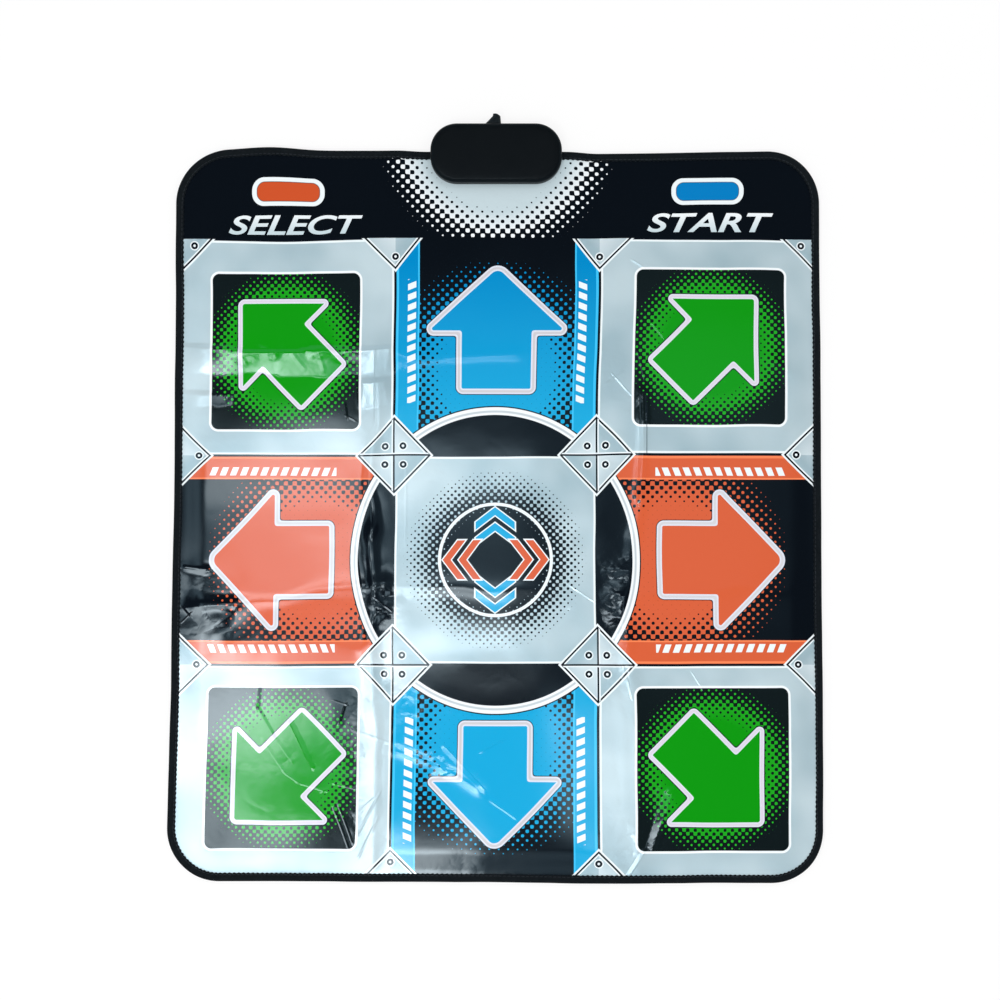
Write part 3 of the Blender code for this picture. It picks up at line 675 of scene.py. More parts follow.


# the middle of a switch's film, and the four strips round it
def layBends(switchName, switch):
    (x, y), (halfX, halfY), bend = switch["middle"], switch["half"], switch["bend"]
    xs = allX[np.abs(allX - x) < halfX + 1e-6]
    ys = allY[np.abs(allY - y) < halfY + 1e-6]
    innerX, innerY = x + (xs - x) * (halfX - bend) / halfX, y + (ys - y) * (halfY - bend) / halfY
    s, t = np.meshgrid(innerX, innerY)
    patch = layFilm(switchName + "PadFilm", s, t, np.ones((len(ys) - 1, len(xs) - 1), bool))
    share = np.linspace(0, 1, max(3, round(bend / gridStep)) + 1)
    spare = 0.07        # of the strip's depth, left level at either side
    strips = []
    for side, sign in (("Left", -1), ("Right", 1), ("Near", -1), ("Far", 1)):
        run = share if sign < 0 else share[::-1]
        if side in ("Left", "Right"):
            s = np.broadcast_to(x + sign * (halfX - bend * run), (len(ys), len(run)))
            t = ys[:, None] * (1 - run) + innerY[:, None] * run
            outer = [(x + sign * halfX, y + end * halfY) for end in (-1, 1)]
            inner = [(x + sign * (halfX - bend), y + end * (halfY - bend)) for end in (-1, 1)]
        else:
            s = xs * (1 - run[:, None]) + innerX * run[:, None]
            t = np.broadcast_to(y + sign * (halfY - bend * run[:, None]), (len(run), len(xs)))
            outer = [(x + end * halfX, y + sign * halfY) for end in (-1, 1)]
            inner = [(x + end * (halfX - bend), y + sign * (halfY - bend)) for end in (-1, 1)]
        keep = np.ones((s.shape[0] - 1, s.shape[1] - 1), bool)
        strip = layFilm(switchName + side + "Bend", s.copy(), t.copy(), keep)
        outer, inner = ([Vector(float(v) for v in layFlat(np.array(a), np.array(b))) for a, b in ends]
                        for ends in (outer, inner))
        way = (outer[1] - outer[0]).orthogonal().normalized()
        depth = ((inner[0] - outer[0]).dot(way) + (inner[1] - outer[1]).dot(way)) / 2
        start, end = outer[0] + way * depth * spare, outer[0] + way * depth * (1 - spare)
        strips.append((strip, (*start, 0.0), (*end, 0.0)))
    return patch, strips


print("print materials")


# linear colour of an ink from its 0 to 255 values
def ink(red, green, blue):
    parts = [c / 255 for c in (red, green, blue)]
    return tuple(c / 12.92 if c < 0.04045 else ((c + 0.055) / 1.055) ** 2.4 for c in parts)


inks = {name: ink(*values) for name, values in {
    "black": (8, 13, 20), "squareBlack": (15, 24, 26), "line": (8, 14, 24),
    "silver": (194, 211, 217), "silverLow": (160, 183, 192), "paper": (232, 240, 243),
    "band": (217, 222, 234), "bandUpright": (200, 198, 204), "bandLevel": (206, 206, 211),
    "bandCorner": (213, 206, 221), "ring": (238, 243, 246), "ringMiddle": (190, 200, 206),
    "blue": (24, 163, 213), "blueFar": (0, 133, 194), "blueEdge": (60, 190, 240), "bluePill": (6, 122, 189),
    "orange": (210, 94, 57), "orangeEdge": (240, 130, 84), "orangePill": (200, 81, 42),
    "green": (13, 146, 14), "greenEdge": (40, 176, 40),
}.items()}


# printer's dots on a grid turned by 45 degrees, larger as the tone rises
def makeDots():
    inputs = {"Across": 0, "Along": 0, "Pitch": 8.4, "Tone": 0.5}
    group, give, leave = startGroup("printDots", inputs, ["Mask"])
    turn = give["Pitch"] * (math.sqrt(2) / (2 * math.pi))
    waves = ((give["Across"] + give["Along"]) / turn).math("COSINE")
    waves = waves + ((give["Across"] - give["Along"]) / turn).math("COSINE")
    cover = waves * 0.25 + give["Tone"] - 0.5
    return endGroup(group, leave, Mask=(cover * 16.0).math("ADD", 0.5, clamp=True))


# distance to an arrow that points along, in mm, below zero inside
# its sizes are those of the arrow with sharp corners
def makeArrow():
    shape = {"Across": 0, "Along": 0, "Tip": 90, "Shoulder": 10, "Tail": -60, "HeadHalf": 80, "ShaftHalf": 40,
             "TipRound": 9, "BarbRound": 6, "TailRound": 7}
    group, give, leave = startGroup("arrowShape", shape, ["Distance"])
    side, along = give["Across"].size(), give["Along"]
    tipRound, barbRound, tailRound = give["TipRound"], give["BarbRound"], give["TailRound"]
    overlap, inner = 14.0, 6.0      # of the shaft and the head, and the round in the corner between them
    lean = (give["Tip"] - give["Shoulder"]) / give["HeadHalf"]
    slope = lean.far(1.0)
    up = along - give["Tip"] + tipRound * slope
    straight = (lean * side + up) / slope
    beforeTip = (side - lean * up).math("LESS_THAN", 0.0)
    slant = straight + beforeTip * (side.far(up) - straight) - tipRound
    a, b = slant + barbRound, give["Shoulder"] - along + barbRound
    atBarb = (a + b / slope).least(b + a / slope).math("GREATER_THAN", 0.0)
    corner = (a * a + b * b + a * b * 2.0 / slope).most(0.0).math("SQRT") * slope / lean
    head = a.most(b) + atBarb * (corner - a.most(b)) - barbRound
    shaft = roundedDistance(side - give["ShaftHalf"] + tailRound, give["Tail"] - along + tailRound) - tailRound
    shaft = shaft.most(along - give["Shoulder"] - overlap)
    return endGroup(group, leave, Distance=head.math("SMOOTH_MIN", shaft, inner))


# distance to a rounded rectangle, in mm, below zero inside
def makeBlock():
    shape = {"Across": 0, "Along": 0, "HalfWidth": 40, "HalfLength": 40, "Corner": 8}
    group, give, leave = startGroup("roundedBlock", shape, ["Distance"])
    a = give["Across"].size() - give["HalfWidth"] + give["Corner"]
    b = give["Along"].size() - give["HalfLength"] + give["Corner"]
    return endGroup(group, leave, Distance=roundedDistance(a, b) - give["Corner"])


# distance to a diamond plate, in mm, below zero inside
def makePlate():
    shape = {"Across": 0, "Along": 0, "HalfWidth": 46, "HalfLength": 48}
    group, give, leave = startGroup("cornerPlate", shape, ["Distance"])
    over = give["Across"].size() / give["HalfWidth"] + give["Along"].size() / give["HalfLength"] - 1.0
    scale = give["HalfWidth"] * give["HalfLength"] / give["HalfWidth"].far(give["HalfLength"])
    return endGroup(group, leave, Distance=over * scale)


# pale disc and dark ring of a printed bolt
def makeBolt():
    group, give, leave = startGroup("printedBolt", {"Across": 0, "Along": 0}, ["Dark", "Pale"])
    radius = give["Across"].far(give["Along"])
    return endGroup(group, leave, Dark=radius.line(3.0, 2.8), Pale=(radius - 5.8).within(0.8))


# small waves, scuffs and dull patches of the clear film, from places in mm
def makeFilmSkin():
    group, give, leave = startGroup("filmSkin", {"Across": 0, "Along": 0}, ["Height", "Rough", "Cloud"])
    place = joinPlace(group, give)
    grains = ((0.030, 3.0, 0.6), (0.45, 2.0, 0.0), (0.008, 2.0, 0.0), (0.11, 4.0, 1.2))
    waves, peel, cloud, scuff = (addNoise(group, place, *grain) for grain in grains)
    rough = (scuff - 0.52).most(0.0) * 0.8 + 0.36
    return endGroup(group, leave, Height=waves * 0.9 + peel * 0.012, Rough=rough, Cloud=cloud)


# height of a crease along a line, that slopes off to its left and to its right
def makeFoldLine():
    shape = {"Across": 0, "Along": 0, "WayX": 1.0, "WayY": 0.0, "Length": 10.0, "Left": 2.0, "Right": 2.0,
             "High": 0.1, "End": 6.0}
    group, give, leave = startGroup("foldLine", shape, ["Height"])
    along = give["Across"] * give["WayX"] + give["Along"] * give["WayY"]
    left = give["Along"] * give["WayX"] - give["Across"] * give["WayY"]
    side = (left / give["Left"]).most(left / give["Right"] * -1.0)
    beyond = (along * -1.0).most(along - give["Length"]).most(0.0) / give["End"]
    tent = (side.far(beyond) * -1.0).math("ADD", 1.0, clamp=True)
    return endGroup(group, leave, Height=tent * give["High"])


# creases in the clear film of each print, in mm on the flat mat
# start and end, how far they slope off to the left and right of that way, height
foldLines = {
    "upCornerPrint": [
        (172, 322, 184, 314, 1.5, 2.5, 0.40), (199, 239, 211, 225, 1.5, 2.5, 0.36),
        (180, 204, 188, 173, 1.2, 1.8, 0.30), (191, 150, 193, 77, 1.5, 1.5, 0.30),
        (150, 176, 172, 150, 1.2, 2.0, 0.30), (142, 166, 160, 178, 3.0, 3.0, 0.30),
        (-154, 212, -155, 121, 2.5, 2.0, 0.25), (-180, 212, -129, 213, 1.2, 2.5, 0.24),
        (-192, 141, -190, 128, 1.2, 2.2, 0.40), (-190, 128, -182, 124, 1.2, 2.2, 0.35),
        (-330, 206, -318, 184, 4.0, 5.0, 0.04), (-296, 207, -290, 186, 4.0, 5.0, 0.05),
        (-262, 206, -248, 190, 4.0, 5.0, 0.04), (-228, 206, -222, 188, 4.0, 5.0, 0.05),
    ],
    "downCornerPrint": [
        (-303, -222, -305, -247, 4.0, 1.4, 0.10), (-305, -247, -284, -283, 4.0, 1.4, 0.10),
        (-284, -283, -260, -314, 4.0, 1.2, 0.05), (-297, -290, -267, -330, 4.0, 1.3, 0.06),
        (-267, -330, -249, -342, 2.5, 1.3, 0.10), (-249, -342, -217, -352, 1.4, 1.4, 0.14),
        (-262, -268, -234, -322, 6.0, 1.2, 0.25), (-217, -352, -201, -344, 1.3, 1.3, 0.16),
        (-201, -344, -179, -349, 1.3, 1.3, 0.16), (-204, -377, -184, -424, 3.0, 1.4, 0.16),
        (-198, -373, -180, -416, 3.0, 1.2, 0.14), (-204, -239, -192, -243, 1.3, 2.0, 0.12),
        (-192, -243, -200, -267, 3.0, 1.3, 0.12), (-172, -405, -145, -355, 3.0, 2.0, 0.30),
        (-170, -433, -148, -387, 2.0, 3.0, 0.30), (-176, -380, -154, -362, 2.0, 2.0, 0.20),
        (-179, -277, -136, -290, 2.5, 3.0, 0.20),
        (184, -426, 165, -459, 2.0, 5.0, 0.80), (197, -305, 219, -275, 2.2, 1.2, 0.36),
        (249, -205, 258, -221, 1.2, 1.6, 0.30), (162, -196, 170, -232, 1.4, 2.4, 0.36),
    ],
    "leftPanelPrint": [
        (-399, -121, -392, -129, 1.2, 1.8, 0.20), (-392, -129, -399, -136, 1.2, 1.8, 0.20),
        (-396, -66, -370, -71, 1.5, 3.0, 0.20), (-176, -47, -170, -93, 1.2, 1.8, 0.20),
        (-151, -109, -133, -122, 1.2, 2.0, 0.24),
    ],
    "centrePanelPrint": [(-114, 55, -114, -38, 3.0, 2.5, 0.12), (96, -92, 126, -112, 1.2, 2.0, 0.24)],
    "downPanelPrint": [
        (-61, -297, -12, -349, 1.2, 5.5, 0.40), (-101, -362, -88, -343, 1.2, 1.5, 0.18),
        (-88, -343, -55, -327, 1.2, 1.5, 0.18), (-14, -301, 10, -287, 1.6, 1.6, 0.40),
        (-2, -365, 24, -383, 1.2, 2.0, 0.20),
    ],
    "rightPanelPrint": [(193, 77, 190, 40, 1.2, 1.5, 0.20)],
}
# crumpled places of each print: middle, half size, soft edge and height
crumpledFilm = {
    "upCornerPrint": [
        ((-295, 194), (108, 20), 12.0, 0.30), ((-146, 176), (22, 44), 14.0, 0.5),
        ((166, 160), (30, 42), 22.0, 1.2), ((-400, 190), (12, 70), 12.0, 0.5),
    ],
    "downCornerPrint": [
        ((-157, -320), (26, 110), 16.0, 0.8), ((156, -214), (22, 26), 16.0, 1.2),
        ((160, -404), (20, 46), 18.0, 1.4), ((192, -322), (12, 26), 12.0, 1.2),
        ((-270, -310), (90, 90), 30.0, 0.10),
    ],
    "leftPanelPrint": [((-150, -110), (16, 22), 14.0, 1.0), ((-370, -115), (34, 34), 24.0, 0.3)],
    "centrePanelPrint": [((112, -110), (20, 30), 16.0, 1.0), ((-122, -100), (10, 30), 10.0, 0.8)],
    "upPanelPrint": [((-120, 184), (18, 30), 14.0, 0.9)],
    "downPanelPrint": [
        ((-70, -317), (10, 12), 8.0, 1.4), ((-4, -447), (100, 16), 12.0, 0.15),
        ((-110, -252), (20, 28), 12.0, 1.3),
    ],
    "rightPanelPrint": [((150, -104), (20, 44), 18.0, 1.2)],
}
wrinkleSettings = {"wide": 0.022, "fine": 0.065, "fineShare": 0.25, "everywhere": 0.04}
foldLine = makeFoldLine()
groups = {
    "dots": makeDots(), "arrow": makeArrow(), "block": makeBlock(),
    "plate": makePlate(), "bolt": makeBolt(), "film": makeFilmSkin(),
}


def addFold(tree, across, along, x0, y0, x1, y1, left, right, high):
    length = math.hypot(x1 - x0, y1 - y0)
    return useGroup(tree, foldLine, Across=across - x0, Along=along - y0, WayX=(x1 - x0) / length,
                    WayY=(y1 - y0) / length, Length=length, Left=left, Right=right, High=high)


def makeCreases(name):
    group, give, leave = startGroup(name + "Creases", {"Across": 0, "Along": 0}, ["Height"])
    across, along, place = give["Across"], give["Along"], joinPlace(group, give)
    wide, fine = ((addNoise(group, place, wrinkleSettings[size], 1.0) - 0.5).size()
                  for size in ("wide", "fine"))
    share = across * 0.0 + wrinkleSettings["everywhere"]
    for (x, y), (halfWidth, halfLength), soft, high in crumpledFilm.get(name, ()):
        mask = useGroup(group, softGlow, Across=across - x, Along=along - y, HalfWidth=halfWidth,
                        HalfLength=halfLength, Soft=soft)
        share = share + mask * high
    height = (wide + fine * wrinkleSettings["fineShare"]) * share
    for fold in foldLines.get(name, ()):
        height = height + addFold(group, across, along, *fold)
    return endGroup(group, leave, Height=height)


# a printed film material: places on the flat mat in mm, and layers of ink one over another
class PrintSheet:

    def __init__(self, name):
        self.material, self.tree, self.base = newMaterial(name)
        self.across, self.along = ((place - 0.5) * 1000.0 for place in layerPlace(self.tree, "Print"))
        self.colour = None
        self.metal = None

    def use(self, group, across, along, **values):
        return useGroup(self.tree, groups[group], Across=across, Along=along, **values)

    # prints a colour where the mask is 1, over what is there
    def lay(self, colour, mask=1.0, metal=0.0):
        colour = inks[colour] if isinstance(colour, str) else colour
        self.colour = mixColours(self.tree, self.colour, colour, mask)
        if isinstance(mask, Field) and (metal or self.metal):
            self.metal = (self.metal if self.metal else mask * 0.0) * mask.rest() + mask * metal

    # a colour between two inks
    def shade(self, low, high, share):
        return mixColours(self.tree, inks[low], inks[high], share)

    def finish(self):
        skin = self.use("film", self.across, self.along)
        creases = useGroup(self.tree, makeCreases(self.material.name), Across=self.across, Along=self.along)
        coat = addNode(self.tree, "Bump", {"Distance": 0.001, "Height": creases})
        bump = {"Strength": 0.6, "Distance": 0.001, "Height": skin["Height"], "Normal": coat}
        fillInputs(self.tree, self.base, {
            "Base Color": self.colour, "Metallic": self.metal, "Roughness": skin["Rough"],
            "Normal": addNode(self.tree, "Bump", bump), "Coat Normal": coat,
            "Coat Weight": 0.8, "Coat Roughness": 0.07, "Coat IOR": 1.5,
            "Specular IOR Level": 0.0,      # the clear film over it has all the gloss
        })
        return self.material


silverMetal = 0.16
mapMiddle = -58.45        # the middle of the panels, in mm from the middle of the mat
columnLine, rowLine = 129.3, 133.95
headerLine = 411.05
plateSizes = {
    # place across and along from the middle of the panels, half width, half length
    # then the bolt's place from the plate's middle
    "inner": (columnLine, rowLine, 46.0, 48.0, (11.5, 11.9)),
    "topMiddle": (columnLine, headerLine, 31.0, 39.0, (0.0, 23.7)),
    "topCorner": (columnLine, headerLine, 39.5, 39.0, (0.0, 23.7)),
    "bottom": (columnLine, 399.0, 32.0, 32.5, (0.0, 17.5)),
    "side": (413.0, rowLine, 44.8, 44.0, (30.0, 0.0)),
    "corner": (413.0, headerLine, 45.0, 46.0, (22.5, 8.5)),
}


# silver plates with bolts, across and along measured from the middle of the panels and folded to one quarter
def layPlates(sheet, across, along, names):
    for name in names:
        x, y, halfWidth, halfLength, (boltX, boltY) = plateSizes[name]
        a, b = across - x, along - y
        distance = sheet.use("plate", a, b, HalfWidth=halfWidth, HalfLength=halfLength)
        shade = ((a * b).math("SIGN") * 0.22 + distance * 0.016).math("ADD", 0.95, clamp=True)
        sheet.lay("paper", distance.line(1.8, 2.4))
        sheet.lay(sheet.shade("paper", "silverLow", shade), distance.within(), metal=silverMetal)
        sheet.lay("paper", distance.line(-2.3, 1.9))
        sheet.lay("line", distance.line(-0.4, 2.2))
        if name == "inner":
            inside = distance.within()
            for field in (a, b):
                sheet.lay("paper", field.line(2.2, 1.8).least(inside))
                sheet.lay("line", field.line(0.3, 2.2).least(inside))
        bolt = sheet.use("bolt", a.size() - boltX, b.size() - boltY)
        sheet.lay("paper", bolt["Pale"])
        sheet.lay("line", bolt["Dark"])


def laySilver(sheet):
    cloud = ((sheet.use("film", sheet.across, sheet.along)["Cloud"] - 0.35) / 0.3).unit()
    everywhere = sheet.across * 0.0 + 1.0
    sheet.lay(sheet.shade("silverLow", "silver", cloud), everywhere, metal=silverMetal)


# the pale and the dark line at the edge of a silver panel
def layEdge(sheet, edge):
    sheet.lay("paper", edge.line(3.1, 2.6))
    sheet.lay("line", (edge - 1.8).within())


def layArrow(sheet, across, along, arrow, band, colour, rim):
    sizes = {name: value for name, value in arrow.items() if name[0].isupper()}
    distance = sheet.use("arrow", across, along, **sizes)
    share = ((along - 180.0) / 200.0).unit()
    sheet.lay("line", (distance - rim).within(0.8))
    sheet.lay("band", distance.within())
    sheet.lay(arrow["band"], distance.line(band * -0.5, 3.0, 0.8))
    sheet.lay(sheet.shade(colour, arrow.get("far", colour), share), (distance + band).within())


cornerSettings = {
    "squareAcross": 272.0, "squareHalf": 96.2, "squareRound": 9.0, "pitch": 6.64,
    "solid": 61.0, "fade": 45.0, "brightFrom": 60.0, "brightOver": 40.0, "band": 5.8, "rim": 1.2,
    # start of the painted shade line along the fold near the box, and its sizes
    "foldShade": (191.0, 150.0), "foldShadeSizes": {"WayX": 0.027, "WayY": -1.0, "Length": 73.0, "Left": 1.0,
                                            "Right": 1.0, "High": 0.85},
}


# silver frame, dark square, dots and a slanting arrow. side is 1 at the box's end and -1 at the other
def cornerPrint(name, side, squareAlong, squareHalf, arrow, plates):
    sheet, settings = PrintSheet(name), cornerSettings
    across, along = sheet.across.size(), (sheet.along - mapMiddle) * side
    laySilver(sheet)
    edge = (across - columnLine).least(along - rowLine)
    if side > 0:
        edge = edge.least(along * -1.0 + headerLine)
    layEdge(sheet, edge)
    a, b = across - settings["squareAcross"], along - squareAlong
    square = sheet.use("block", a, b, HalfWidth=settings["squareHalf"], HalfLength=squareHalf,
                       Corner=settings["squareRound"])
    sheet.lay("ring", square.line(1.5, 3.0))
    inside = square.within()
    sheet.lay("squareBlack", inside)
    tone = (a.far(b) - settings["solid"]) * (-1.0 / settings["fade"]) + 1.0
    dots = sheet.use("dots", a, b, Pitch=settings["pitch"], Tone=tone)
    bright = ((a.far(b) - settings["brightFrom"]) / settings["brightOver"]).unit()
    sheet.lay(sheet.shade("green", "greenEdge", bright), dots.least(inside))
    # painted shade: a dark line along the fold crease at the box's end, standing in for the shadow in the
    # crease
    if side > 0:
        x, y = settings["foldShade"]
        sheet.lay("line", useGroup(sheet.tree, foldLine, Across=sheet.across - x, Along=sheet.along - y,
                                   **settings["foldShadeSizes"]))
    half = math.sqrt(0.5)
    layArrow(sheet, (a - b) * half + arrow["offset"], (a + b) * half, arrow, settings["band"], "green",
             settings["rim"])
    layPlates(sheet, across, along, plates)
    return sheet.finish()


sideSettings = {
    "strip": 31.0, "pitch": 8.15, "solid": 72.0, "fade": 70.0, "band": 6.8, "rim": 1.0,
    "dashPitch": 13.2, "dashLean": 0.4, "dashWidth": 10.5, "dashHalf": 0.30,
}


# panel with an upright arrow between two strips, and its share of the ring
def sidePrint(name, across, outward, colour, panel):
    sheet, settings = PrintSheet(name), sideSettings
    across, along = across(sheet), outward(sheet)
    side = across.size()
    sheet.lay("black")
    glow = across.far(along - panel["glow"])
    tone = (((glow - settings["solid"]).most(0.0) / settings["fade"]).power(0.8)).rest()
    dots = sheet.use("dots", across, along - panel["glow"], Pitch=settings["pitch"], Tone=tone)
    field = sheet.shade(colour, panel["arrow"].get("far", colour), ((along - 180.0) / 200.0).unit())
    sheet.lay(field, dots)
    layArrow(sheet, across, along, panel["arrow"], settings["band"], colour, settings["rim"])
    stripFrom = panel["half"] - settings["strip"]
    strip = (side * -1.0 + stripFrom).within()
    sheet.lay(field, strip)
    sheet.lay(colour + "Edge", side.line(stripFrom + 1.0, 2.0))
    sheet.lay(colour + "Edge", side.line(panel["half"] - 3.0, 3.0).least(strip))
    middle, start, end = panel["dashes"]
    lean = along + (side - middle) * settings["dashLean"]
    period = (lean * (1.0 / settings["dashPitch"])).math("FRACT") - 0.5
    dash = ((period.size() - settings["dashHalf"]) * settings["dashPitch"]).within()
    dash = dash.least((side - middle).line(0.0, settings["dashWidth"]))
    sheet.lay("paper", dash.least((along - (start + end) / 2).line(0.0, end - start)))
    a, b = panel["ring"]
    ring = ((across / a).far(along / b) - 1.0) * ((a + b) / 2)
    sheet.lay("line", (ring - 1.5).within())
    sheet.lay("ring", ring.within())
    sheet.lay("ringMiddle", ring.line(-5.4, 2.6, 1.2))
    sheet.lay("line", (ring + 9.6).within())
    sheet.lay("black", (ring + 10.8).within())
    sheet.lay("line", (side * -1.0 + panel["half"] - 1.3).within())
    layPlates(sheet, *panel["fold"](side, along), panel["plates"])
    return sheet.finish()


def arrowSizes(tip, shoulder, tail, headHalf, shaftHalf, tipRound, barbRound, tailRound, **more):
    return {"Tip": tip, "Shoulder": shoulder, "Tail": tail, "HeadHalf": headHalf, "ShaftHalf": shaftHalf,
            "TipRound": tipRound, "BarbRound": barbRound, "TailRound": tailRound, **more}


arrows = {
    "upCorner": arrowSizes(91.6, 3.0, -69.4, 88.6, 43.0, 9.0, 6.0, 7.0, offset=3.4, band="bandCorner"),
    "downCorner": arrowSizes(96.2, 2.6, -72.8, 93.6, 43.0, 9.0, 6.0, 7.0, offset=4.8, band="bandCorner"),
    "up": arrowSizes(382.2, 286.1, 212.3, 102.7, 50.9, 17.0, 9.0, 9.0, band="bandUpright", far="blueFar"),
    "down": arrowSizes(371.0, 274.1, 204.0, 92.7, 46.8, 15.5, 7.0, 9.0, band="bandUpright"),
    "level": arrowSizes(374.7, 276.8, 205.4, 104.0, 50.4, 17.5, 9.0, 9.0, band="bandLevel"),
}
uprightPanel = {
    "half": columnLine, "ring": (183.0, 195.5), "dashes": (108.0, 200.0, 358.0),
    "fold": lambda side, along: (side, along),
}
levelPanel = {
    "half": rowLine, "ring": (195.5, 184.0), "dashes": (113.0, 204.0, 369.0),
    "fold": lambda side, along: (along, side), "glow": 229.0, "arrow": arrows["level"],
    "plates": ("inner", "side"),
}
upPanel = {**uprightPanel, "glow": 240.5, "arrow": arrows["up"], "plates": ("inner", "topMiddle")}
downPanel = {**uprightPanel, "glow": 232.0, "arrow": arrows["down"], "plates": ("inner", "bottom")}
printMaterials = {
    "upCorner": cornerPrint("upCornerPrint", 1, 269.5, 99.3, arrows["upCorner"],
                            ("inner", "topCorner", "side", "corner")),
    "downCorner": cornerPrint("downCornerPrint", -1, 264.7, 101.2, arrows["downCorner"],
                              ("inner", "bottom", "side")),
    "up": sidePrint("upPanelPrint", lambda p: p.across, lambda p: p.along - mapMiddle, "blue", upPanel),
    "down": sidePrint("downPanelPrint", lambda p: p.across, lambda p: (p.along - mapMiddle) * -1.0, "blue",
                      downPanel),
    "left": sidePrint("leftPanelPrint", lambda p: p.along - mapMiddle, lambda p: p.across * -1.0, "orange",
                      levelPanel),
    "right": sidePrint("rightPanelPrint", lambda p: p.along - mapMiddle, lambda p: p.across, "orange",
                       levelPanel),
}
centreSettings = {
    "pitch": 6.56, "solid": 62.0, "fade": 54.0, "ringRadius": 71.0, "ringWidth": 4.0,
    "chevrons": (30.0, 50.0), "chevronLean": 0.75, "chevronTip": 12.0,
    "chevronHalf": 5.0, "chevronReach": 25.0,
    "outline": 1.8,
}


# pale square with a field of dots, four chevrons that point outwards and a plain ring
def centrePrint(settings):
    sheet = PrintSheet("centrePanelPrint")
    across, along = sheet.across, sheet.along - mapMiddle
    laySilver(sheet)
    layEdge(sheet, (across.size() * -1.0 + columnLine).least(along.size() * -1.0 + rowLine))
    radius = across.far(along)
    tone = (radius - settings["solid"]) * (-1.0 / settings["fade"]) + 1.0
    sheet.lay("black", sheet.use("dots", across, along, Pitch=settings["pitch"], Tone=tone))
    sheet.lay("paper", (radius - settings["ringRadius"]).line(0.0, settings["ringWidth"]))
    for colour, a, b in (("blue", across, along.size()), ("orange", along, across.size())):
        for middle in settings["chevrons"]:
            way = b + a.size() * settings["chevronLean"] - middle - settings["chevronTip"]
            mark = (way.size() - settings["chevronHalf"]).most(a.size() - settings["chevronReach"])
            sheet.lay("paper", (mark - settings["outline"]).within())
            sheet.lay(colour, mark.within())
    layPlates(sheet, across.size(), along.size(), ("inner",))
    return sheet.finish()


headerSettings = {
    "discAlong": 501.0, "discNarrow": 1.09, "pitch": 8.95, "solid": 108.0, "fade": 60.0,
    "paleFrom": 114.0, "paleOver": 28.0, "nearEdge": 353.5,
    # half width, half length and corner of the outline and of the ink inside it, and where the buttons are
    "outline": (47.2, 17.3, 15.5), "inside": (40.5, 11.4, 9.5),
    "buttons": (("orangePill", -269.1, 410.6), ("bluePill", 269.8, 414.1)),
}


# black band with a half disc of pale dots by the box and two outlined buttons
def headerPrint(settings):
    sheet = PrintSheet("headerPrint")
    sheet.lay("black")
    across, along = sheet.across, sheet.along - settings["discAlong"]
    radius = (across * settings["discNarrow"]).far(along)
    tone = (radius - settings["solid"]) * (-1.0 / settings["fade"]) + 1.0
    dots = sheet.use("dots", across, along, Pitch=settings["pitch"], Tone=tone)
    pale = sheet.shade("silver", "ring", ((radius - settings["paleFrom"]) / settings["paleOver"]).unit())
    sheet.lay(pale, dots.least((sheet.along * -1.0 + settings["nearEdge"]).within()))
    for colour, x, y in settings["buttons"]:
        a, b = sheet.across - x, sheet.along - y
        outer, inner = (sheet.use("block", a, b, HalfWidth=wide, HalfLength=deep, Corner=corner)
                        for wide, deep, corner in (settings["outline"], settings["inside"]))
        sheet.lay("paper", outer.within())
        sheet.lay("line", (inner - 0.7).within(0.8))
        sheet.lay(colour, inner.within())
    return sheet.finish()


printMaterials["centre"] = centrePrint(centreSettings)
printMaterials["header"] = headerPrint(headerSettings)

print("printed cover")
panels = [("header", (-edgeX, edgeX), (lineY[2], edgeY), "header")]
for row, rangeY in (("up", lineY[1:]), ("", lineY[:2]), ("down", (-edgeY, lineY[0]))):
    for column, rangeX in (("left", (-edgeX, lineX[0])), ("", lineX), ("right", (lineX[1], edgeX))):
        panelName = row + column.title() if row else column or "centre"
        panels.append((panelName, rangeX, rangeY, row + "Corner" if row and column else panelName))
slots = {"blue": "blue_print", "orange": "orange_print", "green": "green_print"}
switchSlots = {
    "up": "blue", "down": "blue", "start": "blue", "left": "orange", "right": "orange", "select": "orange",
}
boxCut = 0.0065     # area of the header that the box hides
for panelName, rangeX, rangeY, printName in panels:
    piece, held = layPanel(panelName + "CoverFilm", rangeX, rangeY)
    material = printMaterials[printName]
    settle(piece, material, node="top_cover" if panelName == "header" else None)
    cut = 0.0
    for switchName in held:
        patch, strips = layBends(switchName, switches[switchName])
        body = switchName + "_switch"
        slot = slots[switchSlots.get(switchName, "green")]
        cut += 4 * switches[switchName]["half"][0] * switches[switchName]["half"][1]
        settle(patch, material, body, switchName + "_pad")
        for strip, start, end in strips:
            settle(strip, material, body=None)
            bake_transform(strip)
    width, length = rangeX[1] - rangeX[0], rangeY[1] - rangeY[0]
    if panelName == "header":
        cut += boxCut
    min(width * length, width * length - cut)

print("edge binding and stitches")
bindingSettings = {
    "flap": 0.0104, "thickness": 0.0006, "gap": 0.0003, "step": 0.0016,
    "scallop": 0.0006, "scallopPitch": 0.0060, "crown": 0.00015,
}
stitchSettings = {
    "inset": 0.0082, "pitch": 0.0056, "length": 0.0042, "radius": 0.00042, "above": 0.00012,
    "step": 0.0008, "start": 0.002,
}


